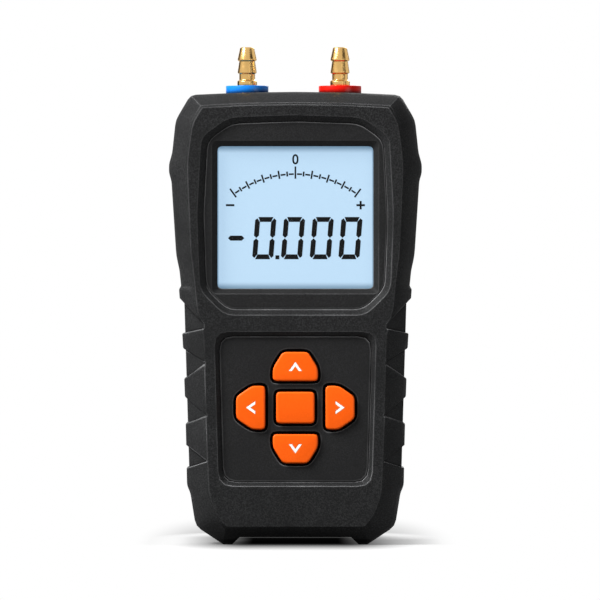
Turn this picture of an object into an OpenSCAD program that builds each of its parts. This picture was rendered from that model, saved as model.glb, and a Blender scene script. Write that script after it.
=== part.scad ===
/* [Case] */
// Height of the case above the table, without the hose barbs
case_h = 147.2; // [144:0.5:152]
// Width of the case over its widest pads
case_w = 82.2; // [79:0.5:90]
// Depth of the case from its front face to its back
case_d = 38; // [36:0.5:44]
// Wall thickness of both halves of the case
wall = 2.4; // [2.2:0.1:2.8]
// Depth of the joint between the halves, behind the front face
split_depth = 13; // [12.6:0.2:15]
// Depth over which the front edges slope back
front_slope = 6.5; // [5.5:0.5:8]
// Depth over which the rear edges slope in
rear_slope = 8; // [6:0.5:9]
// Small flat that softens the edges of the front and back faces
edge_soft = 0.5; // [0.3:0.1:0.8]
// Half width of the flat that softens the edges between the slopes and the sides
side_soft = 1.1; // [0.8:0.1:1.4]
// Corner cut that softens the case outline
outline_cut = 1.6; // [0.8:0.2:2.4]
// Depth of the shadow line between the two halves
seam = 0.3; // [0.1:0.1:0.5]

/* [Side grip] */
// Number of grooves on each side
groove_count = 4; // [2:1:4]
// Distance from one groove to the next
groove_pitch = 15; // [14:0.5:16]
// Height of the lowest groove above the table
groove_low_z = 28.8; // [27:0.5:31]
// Height of a groove where it leaves the side
groove_h = 9.8; // [7:0.2:11]
// Drop of the groove's inner tip below its middle
groove_tip_drop = 1.6; // [0:0.2:2]
// Half distance between the inner tips of a left and a right groove
groove_tip_x = 28.6; // [28:0.1:31]
// Depth of a groove at the side
groove_d = 0.9; // [0.6:0.1:1.4]
// Depth of a groove at its inner tip
groove_tip_d = 0.55; // [0.3:0.05:0.8]

/* [Feet] */
// Half width of the gap between the two feet
foot_gap_half = 20.6; // [16:0.2:21]
// Height of the gap between the two feet
foot_gap_h = 2.5; // [1:0.1:3]

/* [Display frame] */
// Distance of the display frame's middle below the top of the case
display_drop = 40.2; // [38.8:0.2:41]
// Width of the display frame plate
bezel_w = 59.6; // [58:0.2:60]
// Height of the display frame plate
bezel_h = 60.8; // [59:0.2:61]
// Depth of the recess round the display frame and the keypad
recess_d = 1.4; // [1:0.1:1.6]
// Width of the sloped wall round the display frame
recess_slope_w = 2; // [1.4:0.1:2.2]
// Thickness of the display frame and of the keypad plate
plate_t = 1.8; // [1.5:0.1:2]
// Corner cut of the display frame and its recess
bezel_cut = 3; // [2:0.2:4]
// Width of the visible window
window_w = 50.6; // [48:0.2:51]
// Height of the visible window
window_h = 46.2; // [44:0.2:47]
// Distance of the window's middle below the middle of the display frame
window_drop = 0.7; // [0:0.1:1.2]
// Width of the sloped edge round the window
window_slope_w = 1.9; // [1.2:0.1:2]
// Corner cut of the window
window_cut = 1.6; // [1:0.1:2.5]
// Width of the ledge that carries a plate
ledge_w = 1.6; // [1.4:0.1:1.8]

/* [Display] */
// Thickness of the clear window
lens_t = 1.2; // [1:0.1:1.3]
// Width of the display glass
glass_w = 54.4; // [53:0.2:55]
// Height of the display glass
glass_h = 54; // [53:0.2:55]
// Thickness of the display glass
glass_t = 1.6; // [1.2:0.1:1.8]
// Height of the light plate behind the glass
backlight_h = 48; // [46:0.5:49]
// Wall of the frame that holds the display on the board
holder_wall = 1.8; // [1.2:0.1:2]
// Thickness of the dark display segments
segment_t = 0.1; // [0.06:0.01:0.14]

/* [Display figures] */
// Radius of the curved scale
scale_r = 34; // [32:0.5:36]
// Distance of the middle of the scale's curve below the window's middle
scale_drop = 19.9; // [18.5:0.1:21]
// Number of steps on each side of the scale's middle
scale_steps = 8; // [4:1:10]
// Angle of the scale on each side of its middle
scale_angle = 36; // [30:1:38]
// Line width of the scale
scale_stroke = 0.4; // [0.3:0.05:0.5]
// Height of a large figure
digit_h = 13.6; // [11:0.2:14]
// Width of a large figure
digit_w = 6.7; // [5.5:0.1:7.2]
// Distance from one large figure to the next
digit_pitch = 9.33; // [8.6:0.01:9.4]
// Left edge of the first large figure
digit_x = -14; // [-15:0.5:-13.5]
// Distance of the large figures' lower edge below the window's middle
digit_drop = 13.5; // [12.5:0.1:15]
// Width of a bar in a large figure
digit_stroke = 1.45; // [1:0.05:1.6]
// Lean of the large figures in degrees
digit_lean = 4.6; // [0:0.2:8]

/* [Keypad] */
// Height of the middle key above the table
keypad_z = 44.6; // [43.6:0.2:45.6]
// Distance of the keypad plate's middle below the middle key
keypad_drop = 0.5; // [0:0.1:1.2]
// Height of the keypad plate
keypad_h = 47.2; // [46:0.2:47.6]
// Width of the keypad plate at its top
keypad_top_w = 49.5; // [47:0.1:50]
// Width of the keypad plate at its bottom
keypad_low_w = 46.9; // [45:0.1:47.5]
// Corner cut of the keypad plate
keypad_cut = 4.6; // [3:0.2:6]
// Width of the sloped wall round the keypad plate
keypad_slope_w = 1.4; // [1:0.1:1.6]
// Height of the key tops above the plate
key_rise = 1.2; // [1.1:0.1:1.3]
// Travel of a key when pressed
key_travel = 1; // [0.6:0.1:1]
// Half width of the middle key
middle_half_w = 6.2; // [5.5:0.1:6.6]
// Half height of the middle key
middle_half_h = 5.1; // [4.5:0.1:5.4]
// Distance from the keypad's middle to the near edge of the upper and lower keys
tall_near = 8.65; // [8.4:0.05:9]
// Distance to their shoulders
tall_shoulder = 12.8; // [12:0.1:14]
// Distance to their far edge
tall_far = 18.05; // [17:0.05:18.2]
// Half width of the upper and lower keys
tall_half_w = 7.3; // [6.5:0.1:7.4]
// Half width of their far edge
tall_half_flat = 4.1; // [3:0.1:4.5]
// Distance from the keypad's middle to the near edge of the side keys
side_near = 9.8; // [9.6:0.05:10]
// Distance to their shoulders
side_shoulder = 14.1; // [13:0.1:15]
// Distance to their far edge
side_far = 19.2; // [18:0.05:19.3]
// Half height of the side keys
side_half_w = 7.06; // [6.5:0.01:7.2]
// Half height of their far edge
side_half_flat = 3.55; // [3:0.05:4]
// Corner cut of the keys
key_cut = 1.3; // [0.8:0.1:1.6]
// Width of the dark gap round each key at the front of the plate
key_gap_front = 0.95; // [0.6:0.05:1]
// Clearance between a key and its hole at the back of the plate
key_gap = 0.25; // [0.2:0.05:0.3]
// Distance that the flange behind a key reaches past it
key_flange = 0.85; // [0.7:0.05:0.9]
// Width of the white arrow on a key
arrow_w = 4.2; // [3:0.1:5]
// Height of the white arrow
arrow_h = 2.95; // [2:0.05:3.4]
// Line width of the white arrow
arrow_stroke = 0.8; // [0.6:0.05:1.1]

/* [Hose ports] */
// Distance between the two hose barbs
port_pitch = 30.3; // [28:0.1:32]
// Sideways place of the middle of the two barbs
port_shift = -0.6; // [-1:0.1:1]
// Height of a barb above its collar
barb_h = 12.6; // [11.8:0.1:14]
// Largest radius of a barb
barb_r = 3.1; // [2.9:0.05:3.2]
// Radius of a barb at its tip
barb_tip_r = 2.33; // [2:0.05:2.5]
// Radius of a barb between its ridges
barb_neck_r = 2.6; // [2.5:0.05:2.7]
// Radius of the foot of a barb
barb_foot_r = 3.25; // [3.2:0.05:3.6]
// Radius of the passage through a barb
barb_bore_r = 1.1; // [0.8:0.05:1.3]
// Radius of the coloured collar
collar_r = 6.95; // [6:0.05:7.2]
// Height of the coloured collar
collar_h = 2.9; // [2.4:0.1:3.2]
// Radius of the threaded stem below a barb
stem_r = 2.5; // [2.2:0.05:2.5]
// Clearance of the stem in its holes
stem_gap = 0.05; // [0.04:0.01:0.1]

/* [Battery] */
// Diameter of a cell
cell_d = 10.5; // [10.1:0.1:10.5]
// Length of a cell with its button
cell_len = 44.5; // [44:0.1:44.5]
// Distance from one cell to the next
cell_pitch = 11; // [10.8:0.1:11.2]
// Space that a battery spring takes
spring_len = 5; // [4:0.2:6]
// Thickness of the battery contact plates
contact_t = 0.4; // [0.3:0.05:0.5]
// Lower inner face of the battery bay above the table
bay_z = 11.5; // [11:0.5:13]
// Wall of the battery bay
bay_wall = 1.4; // [1.2:0.1:1.6]
// Thickness of the battery door
door_t = 1.8; // [1.6:0.1:2]
// Clearance round the battery door
door_gap = 0.25; // [0.2:0.05:0.3]
// Lower end of the battery door above the table
door_low_z = 6.4; // [6.2:0.1:7]
// Distance that the door's side tongues reach into the case
tongue_w = 1; // [0.8:0.1:1.2]
// Thickness of those tongues
tongue_t = 0.8; // [0.6:0.1:0.9]

/* [Board and screws] */
// Thickness of the circuit board
board_t = 1.6; // [1:0.1:1.6]
// Width of the circuit board
board_w = 58; // [57:0.5:58.5]
// Depth of the board's front face behind the front face of the case
board_depth = 8; // [7.8:0.1:9]
// Radius of a case screw's stem
screw_r = 1.48; // [1.3:0.02:1.5]
// Radius of a case screw's head
screw_head_r = 2.7; // [2.5:0.1:2.8]
// Length of a case screw below its head
screw_len = 15; // [13:0.5:15]
// Radius of a board screw's stem
board_screw_r = 0.95; // [0.8:0.05:1.1]
// Length of a board screw below its head
board_screw_len = 5; // [4:0.2:5.4]

/* [Pressure parts] */
// Outer radius of the inner hoses
hose_r = 3; // [2.8:0.1:3.2]
// Radius of the hose tails that the inner hoses slide on
tail_r = 1.9; // [1.8:0.05:2]
// Length of those tails
tail_len = 5; // [4:0.2:6]
// Distance between the two inlets of the pressure sensor
inlet_pitch = 12; // [11:0.2:14]
// Width of the pressure sensor
sensor_w = 22; // [20:0.5:26]
// Height of the pressure sensor
sensor_h = 14; // [12:0.5:16]

/* [Hidden] */

// Overrun of every cut past the surface it opens
over = 0.5;
// Clearance between fixed pieces that are set into each other
seat_gap = 0.15;
// Fineness of round pieces
fine = 48;

face_y = -case_d / 2;
back_y = case_d / 2;
split_y = face_y + split_depth;
front_slope_y = face_y + front_slope;
rear_slope_y = back_y - rear_slope;
mid_z = case_h / 2;
half_w = case_w / 2;
display_z = case_h - display_drop;
window_z = display_z - window_drop;

// Outline of the case, upwards on the right: outer x and z, front face x and z, and the corner
// cuts of both. A corner without a cut stays sharp.
outline_shares = [
    [0.5693, 0, 0.550, 0.0378, 0, 0],
    [0.7890, 0.0405, 0.6253, 0.0611, 1.3, 1.6],
    [0.8309, 0.1135, 0.6849, 0.1060, 0.5, 1.25],
    [0.8577, 0.1311, 0.6934, 0.1393, 0.6, 1.25],
    [0.8652, 0.2446, 0.7092, 0.2446, 3.1, 3.1],
    [0.8771, 0.3499, 0.7178, 0.3465, 3.1, 2.5],
    [0.8917, 0.4552, 0.7294, 0.4586, 3.1, 0.6],
    [0.9100, 0.5231, 0.7835, 0.5231, 0.5, 0.75],
    [0.9209, 0.5645, 0.7968, 0.5605, 0.3, 0.3],
    [0.9039, 0.5707, 0.7993, 0.5679, 0.3, 0.3],
    [0.9173, 0.6067, 0.8151, 0.6080, 0.75, 0.6],
    [0.9428, 0.6379, 0.8321, 0.6420, 1.25, 0.6],
    [0.9805, 0.8023, 0.8577, 0.8016, 0.5, 1.25],
    [1, 0.8213, 0.8613, 0.8220, 0.5, 1.25],
    [1, 0.8404, 0.8589, 0.8424, 0.55, 1.25],
    [0.9745, 0.8655, 0.8504, 0.8716, 0.75, 1.25],
    [0.9472, 0.9375, 0.8200, 0.9314, 1.1, 1.4],
    [0.8297, 0.9932, 0.7421, 0.9667, 1.1, 0.3],
    [0.4015, 0.9985, 0.3650, 0.9721, 1.25, 1.25],
    [0, 1, 0, 0.9735, 1.25, 1.25]
];
// Outline of the display frame, upwards on the right, from its middle in half sizes
bezel_shares = [[0.738, -1], [0.970, -0.777], [1, 0], [0.956, 0.796], [0.70, 0.975],
    [0, 1]];

// Points of half an outline and their mirror images, as one closed outline
function both_sides(half) = concat(half,
    [for (i = [len(half) - 1 : -1 : 0]) if (half[i][0] > 0) [-half[i][0], half[i][1]]]);
// Share of an edge that a corner cut may take
edge_share = 0.45;
// A corner point with its neighbours, as steps + 1 points of a smooth curve, or with no cut as
// it is
function soft_corner(a, p, b, cut, steps) =
    let (c = min(cut, edge_share * norm(a - p), edge_share * norm(b - p)))
    let (q = p + (a - p) / norm(a - p) * c, r = p + (b - p) / norm(b - p) * c)
    cut == 0 ? [p] : [for (k = [0 : steps]) let (s = k / steps)
        q * (1 - s) * (1 - s) + p * 2 * s * (1 - s) + r * s * s];
// An outline with its corners softened, each by its own cut
function soften_each(points, cuts, steps) = let (n = len(points))
    [for (i = [0 : n - 1], q = soft_corner(points[(i + n - 1) % n], points[i],
        points[(i + 1) % n], cuts[i], steps)) q];
// An outline with all its corners softened alike
function soften(points, cut, steps) = soften_each(points, [for (p = points) cut], steps);
// Outward direction of the edge from a to b on an outline that runs anticlockwise
function outward(a, b) = [b[1] - a[1], a[0] - b[0]] / norm(b - a);
// An outline with every edge moved outwards by g
function grow(points, g) = let (n = len(points)) [for (i = [0 : n - 1])
    let (u = outward(points[(i + n - 1) % n], points[i]))
    let (v = outward(points[i], points[(i + 1) % n]))
    points[i] + (u + v) * g / (1 + u * v)];
// An outline turned by whole quarter turns
function turned(points, a) = [for (p = points)
    [p[0] * cos(a) - p[1] * sin(a), p[0] * sin(a) + p[1] * cos(a)]];
function moved(points, x, z) = [for (p = points) p + [x, z]];
function at_y(points, y) = [for (p = points) [p[0], y, p[1]]];
function box_points(w, h) = [[w, -h] / 2, [w, h] / 2, [-w, h] / 2, [-w, -h] / 2];

// Solid through a row of outlines that have the same number of points. Its ends are closed by
// bands from one half of the outline to the other, which mirrors it point by point.
module loft(rings) {
    n = len(rings[0]);
    last = (len(rings) - 1) * n;
    sides = [for (k = [0 : len(rings) - 2], i = [0 : n - 1], half = [0, 1])
        let (a = k * n + i, b = k * n + (i + 1) % n)
        half == 0 ? [a, b, b + n] : [a, b + n, a + n]];
    bands = [for (i = [0 : ceil(n / 2) - 2]) let (far = n - 1 - i)
        far - 1 == i + 1 ? [i, i + 1, far] : [i, i + 1, far - 1, far]];
    low_end = [for (band = bands) [for (k = [len(band) - 1 : -1 : 0]) band[k]]];
    high_end = [for (band = bands) [for (i = band) last + i]];
    polyhedron([for (ring = rings, p = ring) p], concat(sides, low_end, high_end));
}

// A flat outline made solid from y0 to y1
module along_y(y0, y1) {
    translate([0, y1, 0]) rotate([90, 0, 0]) linear_extrude(y1 - y0) children();
}

module round_y(x, z, y0, y1, r) {
    along_y(y0, y1) translate([x, z]) circle(r, $fn = fine);
}

module block(x0, x1, y0, y1, z0, z1) {
    translate([x0, y0, z0]) cube([x1 - x0, y1 - y0, z1 - z0]);
}

// Case outline: t runs from 0 at the widest outline to 1 at the face, inset moves it inwards
function case_point(s, t, inset) = [
    half_w * (s[0] + t * (s[2] - s[0])) * (1 - inset / half_w),
    mid_z + (case_h * (s[1] + t * (s[3] - s[1])) - mid_z) * (1 - inset / mid_z)
];
function case_points(t, inset) = both_sides([for (s = outline_shares) case_point(s, t, inset)]);
outline_steps = 2;
function case_cuts(t) = let (half = [for (s = outline_shares)
    outline_cut * (s[4] + t * (s[5] - s[4]))])
    concat(half, [for (i = [len(half) - 2 : -1 : 0]) half[i]]);
function case_ring(y, t, inset) =
    at_y(soften_each(case_points(t, inset), case_cuts(t), outline_steps), y);
// Outline at the joint of the halves, where the shadow line is cut in but for the soles
function joint_ring(y) = at_y(soften_each(both_sides([for (s = outline_shares)
    s[1] == 0 ? [half_w * s[0], 0] : case_point(s, 0, seam)]), case_cuts(0), outline_steps), y);
// The same outline with sharp corners, for the cavities
function cavity_ring(y, t) = at_y(case_points(t, wall), y);

front_soft_t = 1 - edge_soft / front_slope;
rear_soft_t = 1 - edge_soft / rear_slope;

module front_body() {
    loft([
        case_ring(face_y, 1, edge_soft),
        case_ring(face_y + edge_soft, front_soft_t, 0),
        case_ring(front_slope_y - side_soft, side_soft / front_slope, 0),
        case_ring(front_slope_y + side_soft, 0, 0),
        case_ring(split_y - seam, 0, 0),
        joint_ring(split_y)
    ]);
}

module rear_body() {
    loft([
        joint_ring(split_y),
        case_ring(split_y + seam, 0, 0),
        case_ring(rear_slope_y - side_soft, 0, 0),
        case_ring(rear_slope_y + side_soft, side_soft / rear_slope, 0),
        case_ring(back_y - edge_soft, rear_soft_t, 0),
        case_ring(back_y, 1, edge_soft)
    ]);
}

floor_z = foot_gap_h + wall;

module above_floor() {
    intersection() {
        children();
        block(-case_w, case_w, -case_d, case_d, floor_z, case_h);
    }
}

module front_cavity() {
    above_floor() loft([
        cavity_ring(face_y + wall, 1),
        cavity_ring(front_slope_y, 0),
        cavity_ring(split_y + over, 0)
    ]);
}

module rear_cavity() {
    above_floor() loft([
        cavity_ring(split_y - over, 0),
        cavity_ring(rear_slope_y, 0),
        cavity_ring(back_y - wall, 1)
    ]);
}

// Width over which a groove narrows to its tip
groove_run = 7.8;
// Times that width, the distance that the groove's cut reaches out
groove_reach_share = 2;
// Height and tip drop of each groove from the lowest one upwards, of the named ones
groove_shares = [[0.87, 1.03], [0.95, 1.16], [1.01, -0.16], [1.02, 2.06]];

// Rows of the outline at the lower and upper end of the grip, which the grooves' floor follows
grip_rows = [3, 6];
// Half width of the grip at height z, at its side or its face (column 0 or 2)
function grip_half(z, column) =
    let (low = outline_shares[grip_rows[0]], high = outline_shares[grip_rows[1]])
    let (rise = (z / case_h - low[column + 1]) / (high[column + 1] - low[column + 1]))
    half_w * (low[column] + rise * (high[column] - low[column]));

// Section of the grooves' floor over the whole grip
function floor_ring(y, column, d) =
    let (z0 = groove_low_z - groove_pitch, z1 = groove_low_z + groove_count * groove_pitch)
    let (x0 = grip_half(z0, column) - d, x1 = grip_half(z1, column) - d)
    at_y([[x0, z0], [x1, z1], [-x1, z1], [-x0, z0]], y);

module grip_grooves() {
    reach_x = groove_tip_x + groove_run * groove_reach_share;
    difference() {
        for (i = [0 : groove_count - 1], side = [-1, 1]) {
            h = groove_h * groove_shares[i][0];
            drop = groove_tip_drop * groove_shares[i][1];
            tip_z = groove_low_z + i * groove_pitch - drop;
            along_y(face_y - over, back_y + over) polygon([
                [side * groove_tip_x, tip_z],
                [side * reach_x, tip_z + (h / 2 + drop) * groove_reach_share],
                [side * reach_x, tip_z - (h / 2 - drop) * groove_reach_share]
            ]);
        }
        loft([
            floor_ring(face_y - 2 * over, 2, groove_tip_d),
            floor_ring(face_y, 2, groove_tip_d),
            floor_ring(front_slope_y, 0, groove_d),
            floor_ring(rear_slope_y, 0, groove_d),
            floor_ring(back_y, 2, groove_tip_d),
            floor_ring(back_y + 2 * over, 2, groove_tip_d)
        ]);
    }
}

module foot_gap() {
    along_y(face_y - over, back_y + over) polygon([
        [-foot_gap_half - over, -over],
        [foot_gap_half + over, -over],
        [foot_gap_half, 0],
        [foot_gap_half - foot_gap_h, foot_gap_h],
        [-foot_gap_half + foot_gap_h, foot_gap_h],
        [-foot_gap_half, 0]
    ]);
}

// Levels of the display and keypad, from the front
deck_y = face_y + recess_d;
plate_back_y = deck_y + plate_t;
// Clearance between the clear window and the display figures
lens_gap = 0.2;
ledge_t = lens_t + lens_gap;
ledge_back_y = plate_back_y + ledge_t;
board_y = face_y + board_depth;
board_back_y = board_y + board_t;

bezel_points = both_sides([for (s = bezel_shares)
    [s[0] * bezel_w / 2, display_z + s[1] * bezel_h / 2]]);
keypad_low_z = keypad_z - keypad_drop - keypad_h / 2;
keypad_top_z = keypad_low_z + keypad_h;
keypad_points = [
    [keypad_low_w / 2, keypad_low_z], [keypad_top_w / 2, keypad_top_z],
    [-keypad_top_w / 2, keypad_top_z], [-keypad_low_w / 2, keypad_low_z]
];
corner_steps = 3;

// Recess with sloped walls, the seat of its plate and the hole inside its ledge
module plate_recess(points, slope_w, cut) {
    mouth = grow(points, slope_w * (1 + over / recess_d));
    seat = soften(grow(points, seat_gap), cut, corner_steps);
    loft([
        at_y(soften(mouth, cut, corner_steps), face_y - over),
        at_y(seat, deck_y),
        at_y(seat, plate_back_y)
    ]);
    along_y(plate_back_y - over, ledge_back_y + over)
        polygon(soften(grow(points, -ledge_w), cut, corner_steps));
}

// Walls of the plate seat behind the front wall
module plate_seat(points, cut) {
    along_y(face_y + wall - over, ledge_back_y)
        polygon(soften(grow(points, ledge_w), cut, corner_steps));
}

screw_boss_r = 3.2;
screw_hole_gap = 0.25;
// Clearance of a screw in the hole that its thread grips
screw_thread_gap = 0.02;
// Radius of the well that a case screw's head sits in, and of the post round it
screw_well_r = screw_head_r + screw_hole_gap;
screw_post_wall = 1;
screw_post_r = screw_well_r + screw_post_wall;
screw_seat_depth = 10;
screw_seat_y = split_y + screw_seat_depth;
screw_head_t = 2;
screw_tip_y = screw_seat_y - screw_len;
// Case screws: two near the top of the case and two near its foot
upper_screw_x = 28;
upper_screw_drop = 8;
lower_screw_x = 24.5;
lower_screw_z = 15;
screw_places = [for (p = [[upper_screw_x, case_h - upper_screw_drop],
    [lower_screw_x, lower_screw_z]], side = [-1, 1]) [side * p[0], p[1]]];
screw_boss_y = face_y + wall - over;
screw_post_end_y = back_y - wall + seat_gap;
// Board screws: two between the display and the keypad and two beside the lower key
board_screw_x = 26;
board_screw_low_z = 24;
board_screw_top_z = 71.4;
board_screw_places = [for (z = [board_screw_top_z, board_screw_low_z], side = [-1, 1])
    [side * board_screw_x, z]];
board_post_r = 2.5;

// Flat spot under each collar, and the pad inside that the port's nut pulls against
spot_d = 0.7;
port_pad_r = 5.9;
port_pad_t = 2.5;
port_pad_gap = 0.1;
port_y = split_y + port_pad_gap + port_pad_r;
port_half = port_pitch / 2;
spot_z = case_h - spot_d;
collar_top_z = spot_z + collar_h;
port_pad_z = spot_z - port_pad_t;

module at_ports() {
    for (side = [-1, 1]) translate([port_shift + side * port_half, port_y, 0]) children();
}

module port_spot_faces() {
    at_ports() translate([0, 0, spot_z]) cylinder(wall, collar_r + seat_gap,
        collar_r + seat_gap, $fn = fine);
}

// Heights of the board's shoulders, its foot and its top
board_shoulder_z = 20;
board_low_z = 9.5;
board_top_drop = 11.9;
board_top_z = case_h - board_top_drop;
board_foot_half = 19.5;
board_screw_head_r = 2;
board_screw_head_t = 1;
board_points = [
    [-board_foot_half, board_low_z], [board_foot_half, board_low_z],
    [board_foot_half, board_shoulder_z], [board_w / 2, board_shoulder_z],
    [board_w / 2, board_top_z], [-board_w / 2, board_top_z],
    [-board_w / 2, board_shoulder_z], [-board_foot_half, board_shoulder_z]
];
// Clearance round the board, its screws and the display's holder
room_gap = 0.3;

// Room inside the front cover for the display's holder, the board and its screws
module board_room() {
    room_x = glass_w / 2 + holder_wall + seat_gap + room_gap;
    room_z = glass_h / 2 + holder_wall + seat_gap + room_gap;
    block(-room_x, room_x, ledge_back_y, split_y + over, window_z - room_z, window_z + room_z);
    along_y(board_y, split_y + over) polygon(grow(board_points, room_gap));
    for (p = board_screw_places)
        round_y(p[0], p[1], board_back_y, split_y + over, board_screw_head_r + room_gap);
}

module front_cover() {
    color("#2d2e2f") difference() {
        union() {
            difference() {
                front_body();
                front_cavity();
            }
            plate_seat(bezel_points, bezel_cut);
            plate_seat(keypad_points, keypad_cut);
            for (p = screw_places) round_y(p[0], p[1], screw_boss_y, split_y, screw_boss_r);
            for (p = board_screw_places)
                round_y(p[0], p[1], face_y + wall - over, board_y, board_post_r);
        }
        plate_recess(bezel_points, recess_slope_w, bezel_cut);
        plate_recess(keypad_points, keypad_slope_w, keypad_cut);
        board_room();
        grip_grooves();
        foot_gap();
        port_spot_faces();
        for (p = screw_places) round_y(p[0], p[1], screw_tip_y - over, split_y + over,
            screw_r + screw_thread_gap);
        for (p = board_screw_places)
            round_y(p[0], p[1], board_y - board_screw_len, board_y + over,
                board_screw_r + screw_thread_gap);
    }
}

// Battery bay and door, from the cells outwards
cell_r = cell_d / 2;
door_y = back_y - door_t;
// Room that a cell has between the floor of the bay and the door
cell_room = 0.3;
bay_floor_y = door_y - cell_d - cell_room;
bay_side_gap = 0.95;
bay_half_w = cell_pitch + cell_r + bay_side_gap;
bay_len = 2 * contact_t + spring_len + cell_len;
bay_top_z = bay_z + bay_len;
cell_y = bay_floor_y + cell_r + stem_gap;
door_half_w = bay_half_w + bay_wall;
// Distance that the door reaches past the upper wall of the bay
door_reach = 3;
door_top_z = bay_top_z + bay_wall + door_reach;

// Section of the door and its tongues, or with a clearance, of its seat in the case
module door_section(gap, top_y) {
    polygon([
        [-door_half_w - gap, top_y],
        [-door_half_w - gap, door_y + tongue_t + gap],
        [-door_half_w - tongue_w - gap, door_y + tongue_t + gap],
        [-door_half_w - tongue_w - gap, door_y - gap],
        [door_half_w + tongue_w + gap, door_y - gap],
        [door_half_w + tongue_w + gap, door_y + tongue_t + gap],
        [door_half_w + gap, door_y + tongue_t + gap],
        [door_half_w + gap, top_y]
    ]);
}

module rear_cover() {
    contact_slot_h = contact_t + 2 * stem_gap;
    color("#2d2e2f") difference() {
        union() {
            difference() {
                rear_body();
                rear_cavity();
            }
            for (p = screw_places)
                round_y(p[0], p[1], split_y, screw_post_end_y, screw_post_r);
            at_ports() translate([0, 0, port_pad_z])
                cylinder(spot_z - port_pad_z, port_pad_r, port_pad_r, $fn = fine);
            block(-door_half_w, door_half_w, bay_floor_y - bay_wall, door_y - door_gap,
                bay_z - bay_wall, bay_top_z + bay_wall);
            block(-door_half_w - tongue_w - wall, door_half_w + tongue_w + wall,
                door_y - door_gap - bay_wall, back_y - wall, floor_z, door_top_z + wall);
        }
        block(-bay_half_w, bay_half_w, bay_floor_y, back_y + over, bay_z, bay_top_z);
        translate([0, 0, -over]) linear_extrude(door_top_z + door_gap + over)
            door_section(door_gap, back_y + over);
        grip_grooves();
        foot_gap();
        port_spot_faces();
        at_ports() translate([0, 0, port_pad_z - over])
            cylinder(case_h - port_pad_z, stem_r + stem_gap, stem_r + stem_gap, $fn = fine);
        for (p = screw_places) {
            round_y(p[0], p[1], split_y - over, back_y, screw_r + screw_hole_gap);
            round_y(p[0], p[1], screw_seat_y, back_y + over, screw_well_r);
        }
        contact_slot(-cell_pitch, bay_top_z - contact_t - stem_gap, contact_slot_h);
        contact_slot(cell_pitch, bay_z - stem_gap, contact_slot_h);
    }
}

// Width of the battery contact plates
contact_w = 4;

module contact_slot(x, z, h) {
    block(x - contact_w / 2 - stem_gap, x + contact_w / 2 + stem_gap,
        bay_floor_y - bay_wall - over, bay_floor_y + over, z, z + h);
}

// Grooves that give the thumb a hold on the battery door
thumb_groove_count = 5;
thumb_groove_pitch = 2.4;
thumb_groove_w = 1.2;
thumb_groove_d = 0.6;
thumb_groove_half = 8;
thumb_groove_rise = 8;
thumb_groove_z = door_low_z + thumb_groove_rise;

module battery_door() {
    color("#2d2e2f") difference() {
        translate([0, 0, door_low_z]) linear_extrude(door_top_z - door_low_z)
            door_section(0, back_y);
        for (i = [0 : thumb_groove_count - 1])
            block(-thumb_groove_half, thumb_groove_half, back_y - thumb_groove_d, back_y + over,
                thumb_groove_z + i * thumb_groove_pitch,
                thumb_groove_z + i * thumb_groove_pitch + thumb_groove_w);
    }
}

// Width and depth of the cross slot in a screw head
screw_slot_share = 0.3;

module screw_y(x, z, seat_y, tip_y, r, head_r, head_t) {
    slot = head_r * screw_slot_share;
    difference() {
        union() {
            round_y(x, z, tip_y, seat_y + over, r);
            round_y(x, z, seat_y, seat_y + head_t, head_r);
        }
        for (a = [0, 90])
            along_y(seat_y + head_t / 2, seat_y + head_t + over)
                translate([x, z]) rotate(a) square([2 * head_r - 2 * slot, slot], center = true);
    }
}

module case_screws() {
    color("silver") for (p = screw_places)
        screw_y(p[0], p[1], screw_seat_y, screw_tip_y, screw_r, screw_head_r, screw_head_t);
}

window_points = moved(box_points(window_w, window_h), 0, window_z);

module display_bezel() {
    color("#2c2c2d") difference() {
        along_y(deck_y, plate_back_y)
            polygon(soften(bezel_points, bezel_cut, corner_steps));
        loft([
            at_y(soften(grow(window_points, window_slope_w * (1 + over / plate_t)), window_cut,
                corner_steps), deck_y - over),
            at_y(soften(window_points, window_cut, corner_steps), plate_back_y - edge_soft),
            at_y(soften(window_points, window_cut, corner_steps), plate_back_y + over)
        ]);
    }
}

module display_lens() {
    color("#dbe9f2", 0.3) along_y(plate_back_y, plate_back_y + lens_t)
        polygon(soften(grow(bezel_points, -ledge_w - seat_gap), bezel_cut, corner_steps));
}

glass_y = ledge_back_y + segment_t;
segment_y = ledge_back_y;
glass_back_y = glass_y + glass_t;

// Parts of a large figure: gap at the tips, corner cut and its slant
segment_gap = 0.16;
segment_corner = 1;
corner_slant_shares = [0.6, 0.45];
tip_z = digit_stroke / 2 + segment_gap;

// Leans a point of a figure to the right by its height above the figure's foot
function leaning(p) = [p[0] + (p[1] + digit_h / 2) * tan(digit_lean), p[1]];

upright_bar = let (w = digit_w / 2, h = digit_h / 2, t = digit_stroke) [
    [-w, tip_z],
    [-w + t / 2, segment_gap],
    [-w + t, tip_z],
    [-w + t, h - t - segment_gap],
    [-w + segment_corner * corner_slant_shares[0], h - segment_corner * corner_slant_shares[1]],
    [-w, h - segment_corner]
];
level_bar = let (w = digit_w / 2, h = digit_h / 2, t = digit_stroke) [
    [-w + t + segment_gap, h - t],
    [w - t - segment_gap, h - t],
    [w - segment_corner, h],
    [-w + segment_corner, h]
];

module zero_figure() {
    for (flip_z = [-1, 1]) {
        polygon([for (p = level_bar) leaning([p[0], p[1] * flip_z])]);
        for (flip_x = [-1, 1])
            polygon([for (p = upright_bar) leaning([p[0] * flip_x, p[1] * flip_z])]);
    }
}

// Longest mark of the scale outwards of its curve, and of that length the reach of each kind
// of mark outwards and inwards: middle, end, even, odd
mark_len = 2.4;
mark_reach_shares = [[1, 0.6], [0.85, 0.5], [0.6, 0.45], [0.35, 0.25]];
// Part of each step that the dash between two marks fills
dash_share = 0.56;

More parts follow.
